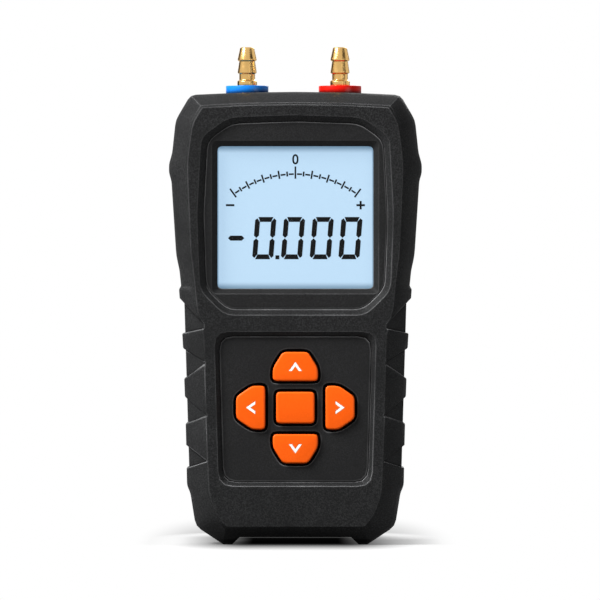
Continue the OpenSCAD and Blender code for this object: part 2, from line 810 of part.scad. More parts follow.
function mark_kind(k) = k == 0 ? 0 : abs(k) == scale_steps ? 1 : k % 2 == 0 ? 2 : 3;

module scale_marks() {
    step = scale_angle / scale_steps;
    dash = 2 * PI * scale_r * step / 360 * dash_share;
    translate([0, window_z - scale_drop]) {
        for (k = [-scale_steps : scale_steps]) {
            reach = mark_len * mark_reach_shares[mark_kind(k)];
            rotate(-k * step) translate([-scale_stroke / 2, scale_r - reach[1]])
                square([scale_stroke, reach[0] + reach[1]]);
        }
        for (k = [-scale_steps : scale_steps - 1])
            rotate(-(k + 0.5) * step) translate([-dash / 2, scale_r - scale_stroke / 2])
                square([dash, scale_stroke]);
    }
}

// Small zero above the scale: width, height and height above the window's middle
small_zero_w = 1.85;
small_zero_h = 3.15;
small_zero_rise = 18.9;
// Minus and plus at the ends of the scale, and their height above the window's middle
sign_x = 21.2;
sign_rise = 4;
sign_w = 2.6;
sign_stroke = 0.52;
// Large minus: left edge and width
minus_x = -21.8;
minus_w = 5.1;
// Decimal point: its middle and size
point_x = -5.85;
point_size = 1.15;

// Power that makes an oval's ends fuller
oval_power = 0.8;
function oval(w, h) = [for (k = [0 : fine - 1]) let (a = 360 * k / fine)
    [w / 2 * cos(a), h / 2 * sign(sin(a)) * pow(abs(sin(a)), oval_power)]];

module lcd_segments() {
    digit_low_z = window_z - digit_drop;
    minus_z = digit_low_z + digit_h / 2;
    color("#1c1e20") along_y(segment_y, glass_y) {
        scale_marks();
        translate([0, window_z + small_zero_rise]) difference() {
            polygon(oval(small_zero_w, small_zero_h));
            polygon(oval(small_zero_w - 2 * scale_stroke, small_zero_h - 2 * scale_stroke));
        }
        for (side = [-1, 1]) translate([side * sign_x, window_z + sign_rise])
            square([sign_w, sign_stroke], center = true);
        translate([sign_x, window_z + sign_rise]) square([sign_stroke, sign_w], center = true);
        for (i = [0 : 3]) translate([digit_x + digit_w / 2 + i * digit_pitch, minus_z])
            zero_figure();
        translate([point_x, digit_low_z + point_size / 2])
            square([point_size, point_size], center = true);
        translate([minus_x, minus_z]) polygon([
            [0, 0],
            [digit_stroke / 2, -digit_stroke / 2],
            [minus_w - digit_stroke / 2, -digit_stroke / 2],
            [minus_w, 0],
            [minus_w - digit_stroke / 2, digit_stroke / 2],
            [digit_stroke / 2, digit_stroke / 2]
        ]);
    }
}

module lcd_glass() {
    color("#bedff5") block(-glass_w / 2, glass_w / 2, glass_y, glass_back_y,
        window_z - glass_h / 2, window_z + glass_h / 2);
}

module lcd_backlight() {
    color("white") block(-glass_w / 2, glass_w / 2, glass_back_y, board_y,
        window_z - backlight_h / 2, window_z + backlight_h / 2);
}

module lcd_holder() {
    outer_w = glass_w + 2 * holder_wall + 2 * seat_gap;
    outer_h = glass_h + 2 * holder_wall + 2 * seat_gap;
    color("ivory") along_y(ledge_back_y, board_y) translate([0, window_z]) difference() {
        square([outer_w, outer_h], center = true);
        square([glass_w + 2 * seat_gap, glass_h + 2 * seat_gap], center = true);
    }
}

// Width and thickness of the rubber strips that feed the display glass
strip_w = 48;
strip_t = 2;

module lcd_contact_strips() {
    strip_z = (glass_h / 2 + backlight_h / 2) / 2;
    color("#c9c9d6") for (side = [-1, 1])
        block(-strip_w / 2, strip_w / 2, glass_back_y, board_y,
            window_z + side * strip_z - strip_t / 2, window_z + side * strip_z + strip_t / 2);
}

// Outline of an outer key that points up, from the keypad's middle
function outer_key(near, shoulder, far, half_w, half_flat) = [
    [half_w, near], [half_w, shoulder], [half_flat, far],
    [-half_flat, far], [-half_w, shoulder], [-half_w, near]
];
tall_key = outer_key(tall_near, tall_shoulder, tall_far, tall_half_w, tall_half_flat);
side_key = outer_key(side_near, side_shoulder, side_far, side_half_w, side_half_flat);
// Outlines of the middle, upper, lower, left and right keys
key_outlines = [
    box_points(2 * middle_half_w, 2 * middle_half_h),
    tall_key,
    turned(tall_key, 180),
    turned(side_key, 90),
    turned(side_key, -90)
];
key_middles = [
    [0, 0],
    [0, (tall_near + tall_far) / 2],
    [0, -(tall_near + tall_far) / 2],
    [-(side_near + side_far) / 2, 0],
    [(side_near + side_far) / 2, 0]
];
key_turns = [0, 0, 180, 90, -90];
key_top_y = deck_y - key_rise;
flange_gap = 0.1;
flange_y = plate_back_y + flange_gap;
flange_t = 0.8;
mat_t = 1;
mat_y = board_y - mat_t;
// Height that a dome keeps when its key is pressed
dome_rest = 1.5;
key_foot_y = mat_y - key_travel - dome_rest;
arrow_pocket_d = 0.4;
arrow_proud = 0.04;

function key_points(i, g) = soften(moved(grow(key_outlines[i], g), 0, keypad_z), key_cut + g,
    corner_steps);

module keypad_plate() {
    color("#2b2b2c") difference() {
        along_y(deck_y, plate_back_y)
            polygon(soften(keypad_points, keypad_cut, corner_steps));
        for (i = [0 : 4]) loft([
            at_y(key_points(i, key_gap_front), deck_y - over),
            at_y(key_points(i, key_gap_front), deck_y),
            at_y(key_points(i, key_gap), plate_back_y - edge_soft),
            at_y(key_points(i, key_gap), plate_back_y + over)
        ]);
    }
}

module arrow_shape() {
    half = arrow_w / 2;
    leg = norm([half, arrow_h]);
    foot = arrow_stroke * leg / arrow_h;
    polygon([
        [0, arrow_h / 2], [half, -arrow_h / 2], [half - foot, -arrow_h / 2],
        [0, arrow_h / 2 - arrow_stroke * leg / half],
        [foot - half, -arrow_h / 2], [-half, -arrow_h / 2]
    ]);
}

module arrow(i, y0, y1) {
    along_y(y0, y1) translate([key_middles[i][0], keypad_z + key_middles[i][1]])
        rotate(key_turns[i]) arrow_shape();
}

key_stem_r = 2;

module button(i) {
    color("#ff6a1a") difference() {
        union() {
            along_y(key_top_y, flange_y + flange_t) polygon(key_points(i, 0));
            along_y(flange_y, flange_y + flange_t) polygon(key_points(i, key_flange));
            round_y(key_middles[i][0], keypad_z + key_middles[i][1], flange_y, key_foot_y,
                key_stem_r);
        }
        if (i > 0) arrow(i, key_top_y - over, key_top_y + arrow_pocket_d);
    }
}

module arrow_mark(i) {
    color("white") arrow(i, key_top_y - arrow_proud, key_top_y + arrow_pocket_d);
}

dome_r = 4;
dome_wall = 0.8;

module key_mat() {
    margin = 1.5;
    color("#3a3a3c") along_y(mat_y, board_y) difference() {
        polygon(soften(grow(keypad_points, -margin), keypad_cut, corner_steps));
        for (i = [0 : 4]) translate([key_middles[i][0], keypad_z + key_middles[i][1]])
            circle(dome_r - dome_wall, $fn = fine);
    }
}

module key_dome(i) {
    dome_h = mat_y - key_foot_y;
    color("#3a3a3c") translate([key_middles[i][0], mat_y, keypad_z + key_middles[i][1]])
        rotate([90, 0, 0]) rotate_extrude($fn = fine) polygon([
            [dome_r - dome_wall, 0],
            [dome_r, 0],
            [key_stem_r + dome_wall, dome_h],
            [0, dome_h],
            [0, dome_h - dome_wall],
            [key_stem_r, dome_h - dome_wall]
        ]);
}

module main_board() {
    color("#1f6b3a") difference() {
        along_y(board_y, board_back_y) polygon(board_points);
        for (p = board_screw_places)
            round_y(p[0], p[1], board_y - over, board_back_y + over, board_screw_r + seat_gap);
    }
}

module board_screws() {
    color("silver") for (p = board_screw_places)
        screw_y(p[0], p[1], board_back_y, board_y - board_screw_len + over, board_screw_r,
            board_screw_head_r, board_screw_head_t);
}

chip_size = 10;
chip_t = 1.4;
chip_z = 86;
leg_count = 11;
leg_w = 0.35;
leg_len = 1;
leg_t = 0.2;

module microcontroller() {
    pitch = (chip_size - 2 * leg_len) / (leg_count - 1);
    chip_gap = 0.1;
    color("#222224") {
        block(-chip_size / 2, chip_size / 2, board_back_y + chip_gap,
            board_back_y + chip_gap + chip_t, chip_z - chip_size / 2, chip_z + chip_size / 2);
        translate([0, 0, chip_z]) for (a = [0 : 90 : 270], k = [0 : leg_count - 1])
            rotate([0, a, 0]) block(chip_size / 2, chip_size / 2 + leg_len, board_back_y,
                board_back_y + chip_gap + leg_t, (k - (leg_count - 1) / 2) * pitch - leg_w / 2,
                (k - (leg_count - 1) / 2) * pitch + leg_w / 2);
    }
}

buzzer_x = 17;
buzzer_z = 78;
buzzer_r = 6;
buzzer_t = 5.5;
buzzer_hole_r = 1.2;

module buzzer() {
    color("#1a1a1b") difference() {
        round_y(buzzer_x, buzzer_z, board_back_y, board_back_y + buzzer_t, buzzer_r);
        round_y(buzzer_x, buzzer_z, board_back_y + buzzer_t / 2, board_back_y + buzzer_t + over,
            buzzer_hole_r);
    }
}

// Small soldered parts as shares of the board's width: x and z from the microcontroller,
// width and height
small_part_shares = [
    [-0.276, 0.103, 0.034, 0.022], [-0.276, 0.034, 0.034, 0.022], [-0.276, -0.034, 0.034, 0.022],
    [-0.207, -0.172, 0.055, 0.028], [-0.034, -0.207, 0.086, 0.069], [0.138, 0.138, 0.022, 0.034],
    [0.207, 0.138, 0.022, 0.034], [0.276, 0.138, 0.022, 0.034], [-0.379, 0.241, 0.069, 0.086],
    [0.379, 0.241, 0.052, 0.052], [-0.31, -0.276, 0.138, 0.06]
];
small_part_t = 1;

module board_parts() {
    color("#8a6d4a") translate([0, 0, chip_z]) for (s = small_part_shares) {
        p = board_w * s;
        block(p[0] - p[2] / 2, p[0] + p[2] / 2, board_back_y, board_back_y + small_part_t,
            p[1] - p[3] / 2, p[1] + p[3] / 2);
    }
}

// Levels of a barb, downwards from its tip
barb_top_z = collar_top_z + barb_h;
tip_soft = 0.3;
tip_len = 4.3;
ridge_pitch = 4.1;
barb_foot_drop = 2.2;
upper_ridge_z = barb_top_z - tip_len;
lower_ridge_z = upper_ridge_z - ridge_pitch;
foot_top_z = lower_ridge_z - barb_foot_drop;
land_h = 0.45;
ridge_fall = 0.35;
foot_slope_h = 0.5;
nut_h = 3.5;
nut_r = 4.62;
// Length of the thread that stands out below the nut
stem_spare = 1.5;
stem_low_z = port_pad_z - nut_h - stem_spare;
tail_low_z = stem_low_z - tail_len;

module hose_barb() {
    color("#d6a75c") rotate_extrude($fn = fine) polygon([
        [barb_bore_r, tail_low_z],
        [tail_r, tail_low_z],
        [tail_r, stem_low_z],
        [stem_r, stem_low_z],
        [stem_r, collar_top_z],
        [barb_foot_r, collar_top_z],
        [barb_foot_r, foot_top_z - foot_slope_h],
        [barb_neck_r, foot_top_z],
        [barb_neck_r, lower_ridge_z - ridge_fall],
        [barb_r, lower_ridge_z],
        [barb_r, lower_ridge_z + land_h],
        [barb_neck_r, upper_ridge_z - ridge_fall],
        [barb_r, upper_ridge_z],
        [barb_r, upper_ridge_z + land_h],
        [barb_tip_r, barb_top_z - tip_soft],
        [barb_tip_r - tip_soft, barb_top_z],
        [barb_bore_r, barb_top_z]
    ]);
}

module hose_barb_left() {
    translate([port_shift - port_half, port_y, 0]) hose_barb();
}

module hose_barb_right() {
    translate([port_shift + port_half, port_y, 0]) hose_barb();
}

o_ring_r = 4;
o_ring_t = 1;
ring_groove_w = 1.3;

module port_collar() {
    difference() {
        translate([0, 0, spot_z]) cylinder(collar_h, collar_r, collar_r, $fn = fine);
        translate([0, 0, spot_z - over])
            cylinder(collar_h + 2 * over, stem_r + stem_gap, stem_r + stem_gap, $fn = fine);
        translate([0, 0, spot_z]) rotate_extrude($fn = fine)
            translate([o_ring_r - ring_groove_w / 2, -over])
                square([ring_groove_w, o_ring_t + over]);
    }
}

module port_collar_left() {
    color("#1e88eb") translate([port_shift - port_half, port_y, 0]) port_collar();
}

module port_collar_right() {
    color("#e11414") translate([port_shift + port_half, port_y, 0]) port_collar();
}

module port_o_rings() {
    color("#18181a") at_ports() translate([0, 0, spot_z + o_ring_t / 2])
        rotate_extrude($fn = fine) translate([o_ring_r, 0]) circle(o_ring_t / 2, $fn = 24);
}

module port_nuts() {
    color("#c79a50") at_ports() translate([0, 0, port_pad_z - nut_h]) difference() {
        cylinder(nut_h, nut_r, nut_r, $fn = 6);
        translate([0, 0, -over])
            cylinder(nut_h + 2 * over, stem_r + screw_thread_gap, stem_r + screw_thread_gap,
                $fn = fine);
    }
}

// The hose runs straight on the tail, swings inwards by one arc and back by another
hose_bend = 60;
hose_bend_r = (port_half - inlet_pitch / 2) / (2 - 2 * cos(hose_bend));
hose_bend_h = 2 * hose_bend_r * sin(hose_bend);
hose_top_z = stem_low_z - stem_gap;
hose_bore_r = tail_r + 2 * stem_gap;
sensor_top_z = tail_low_z - hose_bend_h - tail_len;

// Sides of a hose and rings in each of its two arcs
hose_sides = 12;
arc_rings = 6;

// Middle line of a hose, upwards from the sensor: x, z and lean from the vertical
hose_line = concat(
    [[inlet_pitch / 2, sensor_top_z, 0]],
    [for (k = [0 : arc_rings]) let (a = hose_bend * k / arc_rings)
        [inlet_pitch / 2 + hose_bend_r * (1 - cos(a)),
        sensor_top_z + tail_len + hose_bend_r * sin(a), a]],
    [for (k = [arc_rings - 1 : -1 : 0]) let (a = hose_bend * k / arc_rings)
        [port_half - hose_bend_r * (1 - cos(a)), tail_low_z - hose_bend_r * sin(a), a]],
    [[port_half, hose_top_z, 0]]
);

function hose_ring(p, r) = [for (j = [0 : hose_sides - 1]) let (b = 360 * j / hose_sides)
    [p[0] + r * cos(b) * cos(p[2]), r * sin(b), p[1] - r * cos(b) * sin(p[2])]];

// Hollow tube between an outer and an inner row of rings with the same number of points
module hollow_loft(outer, inner) {
    n = len(outer[0]);
    rows = len(outer);
    skip = rows * n;
    faces = [for (k = [0 : rows - 2], i = [0 : n - 1], half = [0 : 3])
        let (a = k * n + i, b = k * n + (i + 1) % n)
        half == 0 ? [a, a + n, b + n] : half == 1 ? [a, b + n, b] :
        half == 2 ? [skip + a, skip + b, skip + b + n] : [skip + a, skip + b + n, skip + a + n]];
    ends = [for (i = [0 : n - 1], end = [0, 1], half = [0, 1])
        let (a = end * (rows - 1) * n + i, b = end * (rows - 1) * n + (i + 1) % n)
        end == 0 ?
            (half == 0 ? [a, b, skip + b] : [a, skip + b, skip + a]) :
            (half == 0 ? [a, skip + b, b] : [a, skip + a, skip + b])];
    polyhedron(concat([for (ring = outer, p = ring) p], [for (ring = inner, p = ring) p]),
        concat(faces, ends));
}

module inner_hose(side) {
    color("#dfe3e6") translate([port_shift, port_y, 0]) mirror([side < 0 ? 1 : 0, 0, 0])
        hollow_loft([for (p = hose_line) hose_ring(p, hose_r)],
            [for (p = hose_line) hose_ring(p, hose_bore_r)]);
}

module pressure_sensor() {
    sensor_back_y = port_y + hose_r;
    inlet_len = tail_len - stem_gap;
    color("#34363a") difference() {
        union() {
            translate([port_shift, 0, 0]) block(-sensor_w / 2, sensor_w / 2, board_back_y,
                sensor_back_y, sensor_top_z - sensor_h, sensor_top_z);
            for (side = [-1, 1])
                translate([port_shift + side * inlet_pitch / 2, port_y, sensor_top_z - over])
                    cylinder(inlet_len + over, tail_r, tail_r, $fn = fine);
        }
        for (side = [-1, 1])
            translate([port_shift + side * inlet_pitch / 2, port_y, sensor_top_z - sensor_h / 2])
                cylinder(sensor_h / 2 + inlet_len + over, barb_bore_r, barb_bore_r, $fn = fine);
    }
}

button_cap_h = 0.8;
button_cap_r = 2.6;
cell_low_z = bay_z + contact_t;

// A cell with its button up, or turned over, that stands on low_z
module battery_cell(x, low_z, button_up) {
    turn = button_up ? 0 : 180;
    color("#b8bcc2") translate([x, cell_y, low_z + cell_len / 2]) rotate([turn, 0, 0])
        translate([0, 0, -cell_len / 2]) rotate_extrude($fn = fine) polygon([
            [0, 0],
            [cell_r - stem_gap, 0],
            [cell_r, stem_gap],
            [cell_r, cell_len - button_cap_h - edge_soft],
            [cell_r - edge_soft, cell_len - button_cap_h],
            [button_cap_r, cell_len - button_cap_h],
            [button_cap_r, cell_len],
            [0, cell_len]
        ]);
}

module battery_cell_left() {
    battery_cell(-cell_pitch, cell_low_z + spring_len, true);
}

module battery_cell_middle() {
    battery_cell(0, cell_low_z, false);
}

module battery_cell_right() {
    battery_cell(cell_pitch, cell_low_z + spring_len, true);
}

// Battery spring: turns, wire radius and points on each turn
spring_turns = 4;
wire_r = 0.35;
spring_low_r = 4;
spring_top_r = 2.4;
turn_points = 8;
wire_sides = 6;

// A tapering coil from z = 0 to spring_len, one unbroken wire
module coil_spring() {
    last = spring_turns * turn_points;
    rings = [for (k = [0 : last]) let (a = 360 * k / turn_points, s = k / last)
        let (r = spring_low_r + (spring_top_r - spring_low_r) * s)
        let (z = wire_r + (spring_len - 2 * wire_r) * s)
        [for (j = [0 : wire_sides - 1]) let (b = -360 * j / wire_sides)
            [(r + wire_r * cos(b)) * cos(a), (r + wire_r * cos(b)) * sin(a),
            z + wire_r * sin(b)]]];
    loft(rings);
}

module battery_springs() {
    color("#d0d2d4") {
        for (side = [-1, 1]) translate([side * cell_pitch, cell_y, cell_low_z]) coil_spring();
        translate([0, cell_y, bay_top_z - contact_t]) mirror([0, 0, 1]) coil_spring();
    }
}

module battery_contacts() {
    far_y = cell_y + contact_w;
    bridge_half = contact_w / 2;
    low_z = bay_z;
    top_z = bay_top_z - contact_t;
    color("#d9dbdd") {
        block(-cell_pitch - contact_w / 2, -cell_pitch + contact_w / 2, board_back_y, far_y,
            top_z, bay_top_z);
        block(cell_pitch - contact_w / 2, cell_pitch + contact_w / 2, board_back_y, far_y,
            low_z, cell_low_z);
        block(-bridge_half, cell_pitch + bridge_half, cell_y - contact_w, far_y, top_z,
            bay_top_z);
        block(-cell_pitch - bridge_half, bridge_half, cell_y - contact_w, far_y, low_z,
            cell_low_z);
    }
}

front_cover();
rear_cover();
battery_door();
case_screws();
display_bezel();
display_lens();
lcd_segments();
lcd_glass();
lcd_backlight();
lcd_holder();
lcd_contact_strips();
keypad_plate();
button(0);  // button_centre
button(1);  // button_up
button(2);  // button_down
button(3);  // button_left
button(4);  // button_right
arrow_mark(1);  // arrow_up
arrow_mark(2);  // arrow_down
arrow_mark(3);  // arrow_left
arrow_mark(4);  // arrow_right
key_mat();
key_dome(0);  // key_dome_centre
key_dome(1);  // key_dome_up
key_dome(2);  // key_dome_down
key_dome(3);  // key_dome_left
key_dome(4);  // key_dome_right
main_board();
board_screws();
microcontroller();
buzzer();
board_parts();
hose_barb_left();
hose_barb_right();
port_collar_left();
port_collar_right();
port_o_rings();
port_nuts();
inner_hose(-1);  // inner_hose_left
inner_hose(1);  // inner_hose_right
pressure_sensor();
battery_cell_left();
battery_cell_middle();
battery_cell_right();
battery_springs();
battery_contacts();
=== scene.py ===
import math

import bmesh
import bpy
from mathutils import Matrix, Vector


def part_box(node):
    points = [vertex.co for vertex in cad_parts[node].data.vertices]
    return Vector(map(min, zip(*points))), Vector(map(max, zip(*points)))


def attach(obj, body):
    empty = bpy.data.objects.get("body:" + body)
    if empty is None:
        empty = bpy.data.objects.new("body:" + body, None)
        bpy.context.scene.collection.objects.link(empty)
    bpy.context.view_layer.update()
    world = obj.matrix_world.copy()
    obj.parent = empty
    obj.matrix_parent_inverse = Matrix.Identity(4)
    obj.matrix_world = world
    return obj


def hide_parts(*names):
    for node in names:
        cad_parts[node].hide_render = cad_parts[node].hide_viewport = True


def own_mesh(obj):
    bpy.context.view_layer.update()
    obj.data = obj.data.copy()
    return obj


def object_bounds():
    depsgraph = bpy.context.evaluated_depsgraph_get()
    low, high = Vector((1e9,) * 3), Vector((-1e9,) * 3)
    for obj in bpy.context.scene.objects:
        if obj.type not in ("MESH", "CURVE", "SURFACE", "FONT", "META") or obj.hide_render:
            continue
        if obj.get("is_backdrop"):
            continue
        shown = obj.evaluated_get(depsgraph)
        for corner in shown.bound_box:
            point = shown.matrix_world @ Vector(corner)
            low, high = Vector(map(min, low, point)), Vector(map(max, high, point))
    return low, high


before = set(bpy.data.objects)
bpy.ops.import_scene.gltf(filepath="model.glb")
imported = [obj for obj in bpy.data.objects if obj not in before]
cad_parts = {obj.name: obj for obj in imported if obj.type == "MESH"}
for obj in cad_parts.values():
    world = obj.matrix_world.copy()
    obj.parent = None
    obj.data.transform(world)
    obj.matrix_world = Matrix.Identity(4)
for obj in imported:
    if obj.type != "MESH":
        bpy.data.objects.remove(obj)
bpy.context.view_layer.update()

# The picture
# The object stands upright on a white floor and is seen straight from its display side, from
# nearly three metres away. The camera looks level at the middle of the picture's frame.
mm = 0.001
picture_w = 195.2 * mm
picture_middle = Vector((1.5 * mm, -10 * mm, 79.5 * mm))
camera_distance = 2.7
camera_reach = 20
sensor_w = 36
camera_data = bpy.data.cameras.new("camera")
camera_data.sensor_width = sensor_w
camera_data.lens = sensor_w * camera_distance / picture_w
camera_data.clip_end = camera_reach
camera = bpy.data.objects.new("camera", camera_data)
camera.location = picture_middle - Vector((0, camera_distance, 0))
camera.rotation_euler = (math.radians(90), 0, 0)
bpy.context.scene.collection.objects.link(camera)
bpy.context.scene.camera = camera
bpy.context.scene.view_settings.view_transform = "Standard"

# The studio
# A white room: the world is white where it is seen, and a dim even light where it is not. A soft
# key lamp hangs up on the left in front, a weak one fills the right and one lights the back.
# Three black cards out of the picture give the metal its dark bands.
dim_light_colour = (0.95, 0.97, 1, 1)
dim_light_strength = 0.07


def add_node(tree, kind, inputs=None, **settings):
    """A new node with its settings, and with a value or a link on each of the named inputs."""
    made = tree.nodes.new(kind)
    for key, value in settings.items():
        setattr(made, key, value)
    for key, value in (inputs or {}).items():
        if isinstance(value, bpy.types.NodeSocket):
            tree.links.new(value, made.inputs[key])
        else:
            made.inputs[key].default_value = value
    return made


def seen_directly(tree):
    """1 for a ray that shows the background itself or its image in metal or glass, else 0."""
    path = add_node(tree, "ShaderNodeLightPath")
    seen = path.outputs["Is Camera Ray"]
    for ray in ("Is Glossy Ray", "Is Transmission Ray"):
        seen = add_node(
            tree, "ShaderNodeMath", {0: seen, 1: path.outputs[ray]}, operation="MAXIMUM"
        ).outputs[0]
    return seen


world = bpy.data.worlds.new("studio")
world.use_nodes = True
bpy.context.scene.world = world
room = world.node_tree
room.nodes.clear()
dim_light = add_node(
    room, "ShaderNodeBackground", {"Color": dim_light_colour, "Strength": dim_light_strength}
)
white_room = add_node(room, "ShaderNodeBackground", {"Color": (1, 1, 1, 1), "Strength": 1})
room_mix = add_node(
    room,
    "ShaderNodeMixShader",
    {0: seen_directly(room), 1: dim_light.outputs[0], 2: white_room.outputs[0]},
)
add_node(room, "ShaderNodeOutputWorld", {"Surface": room_mix.outputs[0]})

object_middle = Vector((0, 0, 80 * mm))


def soft_lamp(name, place, width, watts):
    """A square lamp that faces the middle of the object."""
    lamp = bpy.data.lights.new(name, "AREA")
    lamp.shape = "SQUARE"
    lamp.size = width
    lamp.energy = watts
    holder = bpy.data.objects.new(name, lamp)
    holder.location = place
    holder.rotation_euler = (object_middle - Vector(place)).to_track_quat("-Z", "Y").to_euler()
    bpy.context.scene.collection.objects.link(holder)


soft_lamp("key_lamp", place=(-0.64, -0.35, 0.76), width=0.35, watts=25)
soft_lamp("fill_lamp", place=(0.75, -0.7, 0.1), width=0.4, watts=4.2)
soft_lamp("back_lamp", place=(0.3, 0.8, 0.5), width=0.4, watts=4)

card_z = 0.2
card_h = 0.6
card_black = (0.015, 0.014, 0.013, 1)


def bare_material(name):
    """A new material without nodes, and its node tree."""
    material = bpy.data.materials.new(name)
    material.use_nodes = True
    material.node_tree.nodes.clear()
    return material, material.node_tree


def dark_card(name, x, y, wide):
    """A black card that stands upright and faces the object. Only its reflection shows."""
    bpy.ops.object.select_all(action="DESELECT")
    bpy.ops.mesh.primitive_plane_add(
        size=1,
        location=(x, y, card_z),
        rotation=(math.radians(90), 0, math.atan2(x, -y)),
    )
    card = bpy.context.object
    card.name = name
    card.scale = (wide, card_h, 1)
    card.visible_camera = False
    card.visible_shadow = False
    card.visible_diffuse = False
    card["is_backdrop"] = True
    black, tree = bare_material(name)
    felt = add_node(tree, "ShaderNodeBsdfDiffuse", {"Color": card_black})
    add_node(tree, "ShaderNodeOutputMaterial", {"Surface": felt.outputs[0]})
    card.data.materials.append(black)


dark_card("card_right", x=0.46, y=-0.32, wide=0.42)
dark_card("card_left_back", x=-0.42, y=0.3, wide=0.34)
dark_card("card_right_back", x=0.3, y=0.44, wide=0.16)

# The floor
# A pale matte floor, pure white but for a painted pool of shadow round the object's feet, which
# is darkest between them and fades over a hand's width, and a fainter painted shadow beyond it.
floor_w = 12
floor_shade = 0.28
floor_glow = 0.58
# The painted pool of shadow round the feet
pool_core_x = 14 * mm
pool_reach_x = 48 * mm
pool_reach_front = 100 * mm
pool_core_back = 60 * mm
pool_reach_back = 140 * mm
# A fainter painted shadow that reaches further out round the feet
faint_shadow_core_x = 27 * mm
faint_shadow_reach_x = 54 * mm
faint_shadow_reach_front = 45 * mm
faint_shadow_core_back = 60 * mm
faint_shadow_reach_back = 360 * mm
faint_shadow_light = 0.58
bpy.ops.object.select_all(action="DESELECT")
bpy.ops.mesh.primitive_plane_add(size=floor_w, location=(0, 0, 0))
floor = bpy.context.object
floor.name = "floor"
floor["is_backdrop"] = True
floor_paint, tree = bare_material("white_floor")


def stretch(tree, value, start=0, end=1, to_start=0, to_end=1, soft=False):
    """A value that runs from start to end, made to run from to_start to to_end."""
    return add_node(
        tree,
        "ShaderNodeMapRange",
        {
            "Value": value,
            "From Min": start,
            "From Max": end,
            "To Min": to_start,
            "To Max": to_end,
        },
        interpolation_type="SMOOTHSTEP" if soft else "LINEAR",
    ).outputs[0]


def product(tree, first, second):
    """One value or mask times another."""
    return add_node(
        tree, "ShaderNodeMath", {0: first, 1: second}, operation="MULTIPLY"
    ).outputs[0]


def blend(tree, mask, first, second):
    """The first colour where the mask is 0 and the second where it is 1."""
    a, b = (c if isinstance(c, bpy.types.NodeSocket) else (*c, 1) for c in (first, second))
    return add_node(
        tree, "ShaderNodeMix", {"Factor": mask, "A": a, "B": b}, data_type="RGBA"
    ).outputs["Result"]


def own_place(tree):
    """The place of a point on a piece, as X, Y and Z."""
    here = add_node(tree, "ShaderNodeTexCoord").outputs["Object"]
    return add_node(tree, "ShaderNodeSeparateXYZ", {0: here}).outputs


spot = own_place(tree)
sideways = add_node(tree, "ShaderNodeMath", {0: spot["X"]}, operation="ABSOLUTE")


def distance_from_feet(core_x, reach_x, reach_front, core_back, reach_back):
    """0 within the core and 1 at each reach, as one rounded distance."""
    away = add_node(
        tree,
        "ShaderNodeCombineXYZ",
        {
            "X": stretch(tree, sideways.outputs[0], core_x, reach_x),
            "Y": stretch(tree, spot["Y"], 0, -reach_front),
            "Z": stretch(tree, spot["Y"], core_back, reach_back),
        },
    )
    return add_node(
        tree, "ShaderNodeVectorMath", {0: away.outputs[0]}, operation="LENGTH"
    ).outputs["Value"]


from_feet = distance_from_feet(
    pool_core_x, pool_reach_x, pool_reach_front, pool_core_back, pool_reach_back
)
from_faint_shadow = distance_from_feet(
    faint_shadow_core_x, faint_shadow_reach_x, faint_shadow_reach_front, faint_shadow_core_back, faint_shadow_reach_back
)
pool = stretch(tree, from_feet, -0.02, 0.95, soft=True)
seen = seen_directly(tree)

# Near the feet the floor is painted dark, takes the object's shadow and glows a little, and far
# off it is white but for a faint painted shadow
matte_colour = blend(tree, pool, (0, 0, 0), (floor_shade, floor_shade, floor_shade))
matte = add_node(tree, "ShaderNodeBsdfDiffuse", {"Color": matte_colour})
glow = add_node(
    tree,
    "ShaderNodeEmission",
    {
        "Color": (1, 1, 1, 1),
        "Strength": stretch(tree, product(tree, seen, pool), to_end=floor_glow),
    },
)
near = add_node(tree, "ShaderNodeAddShader", {0: matte.outputs[0], 1: glow.outputs[0]})
far = add_node(
    tree,
    "ShaderNodeEmission",
    {
        "Color": (1, 1, 1, 1),
        "Strength": stretch(tree, from_faint_shadow, to_start=faint_shadow_light, soft=True),
    },
)
far_off = stretch(tree, from_feet, 0.7, 1)
floor_mix = add_node(
    tree,
    "ShaderNodeMixShader",
    {0: product(tree, far_off, seen), 1: near.outputs[0], 2: far.outputs[0]},
)
add_node(tree, "ShaderNodeOutputMaterial", {"Surface": floor_mix.outputs[0]})
floor.data.materials.append(floor_paint)

# Front cover, rear cover and battery door
# Two moulded shells of black engineering plastic with a fine grain, screwed together from the
# back, and a sliding door over the cells. Their edges are rounded by the mould.


def new_group(name, inputs, outputs):
    """A shader node group with float inputs and typed outputs."""
    group = bpy.data.node_groups.new(name, "ShaderNodeTree")
    for socket in inputs:
        group.interface.new_socket(name=socket, in_out="INPUT", socket_type="NodeSocketFloat")
    for socket, kind in outputs:
        group.interface.new_socket(name=socket, in_out="OUTPUT", socket_type=kind)
    return group, group.nodes.new("NodeGroupInput"), group.nodes.new("NodeGroupOutput")


# Grain of a moulded surface: Height for its bumps, Tone for its slow changes of shade and Speck
# a mask of its paler specks
grain, grain_in, grain_out = new_group(
    "moulded_grain",
    ["Per Metre"],
    [("Height", "NodeSocketFloat"), ("Tone", "NodeSocketFloat"), ("Speck", "NodeSocketFloat")],
)
tone_per_metre = 70
here = add_node(grain, "ShaderNodeTexCoord").outputs["Object"]
fine_noise = add_node(
    grain,
    "ShaderNodeTexNoise",
    {"Vector": here, "Scale": grain_in.outputs[0], "Detail": 3, "Roughness": 0.6},
).outputs[0]
slow_noise = add_node(
    grain,
    "ShaderNodeTexNoise",
    {"Vector": here, "Scale": tone_per_metre, "Detail": 4, "Roughness": 0.55},
).outputs[0]
grain.links.new(fine_noise, grain_out.inputs["Height"])
grain.links.new(slow_noise, grain_out.inputs["Tone"])
grain.links.new(stretch(grain, fine_noise, 0.42, 0.68), grain_out.inputs["Speck"])
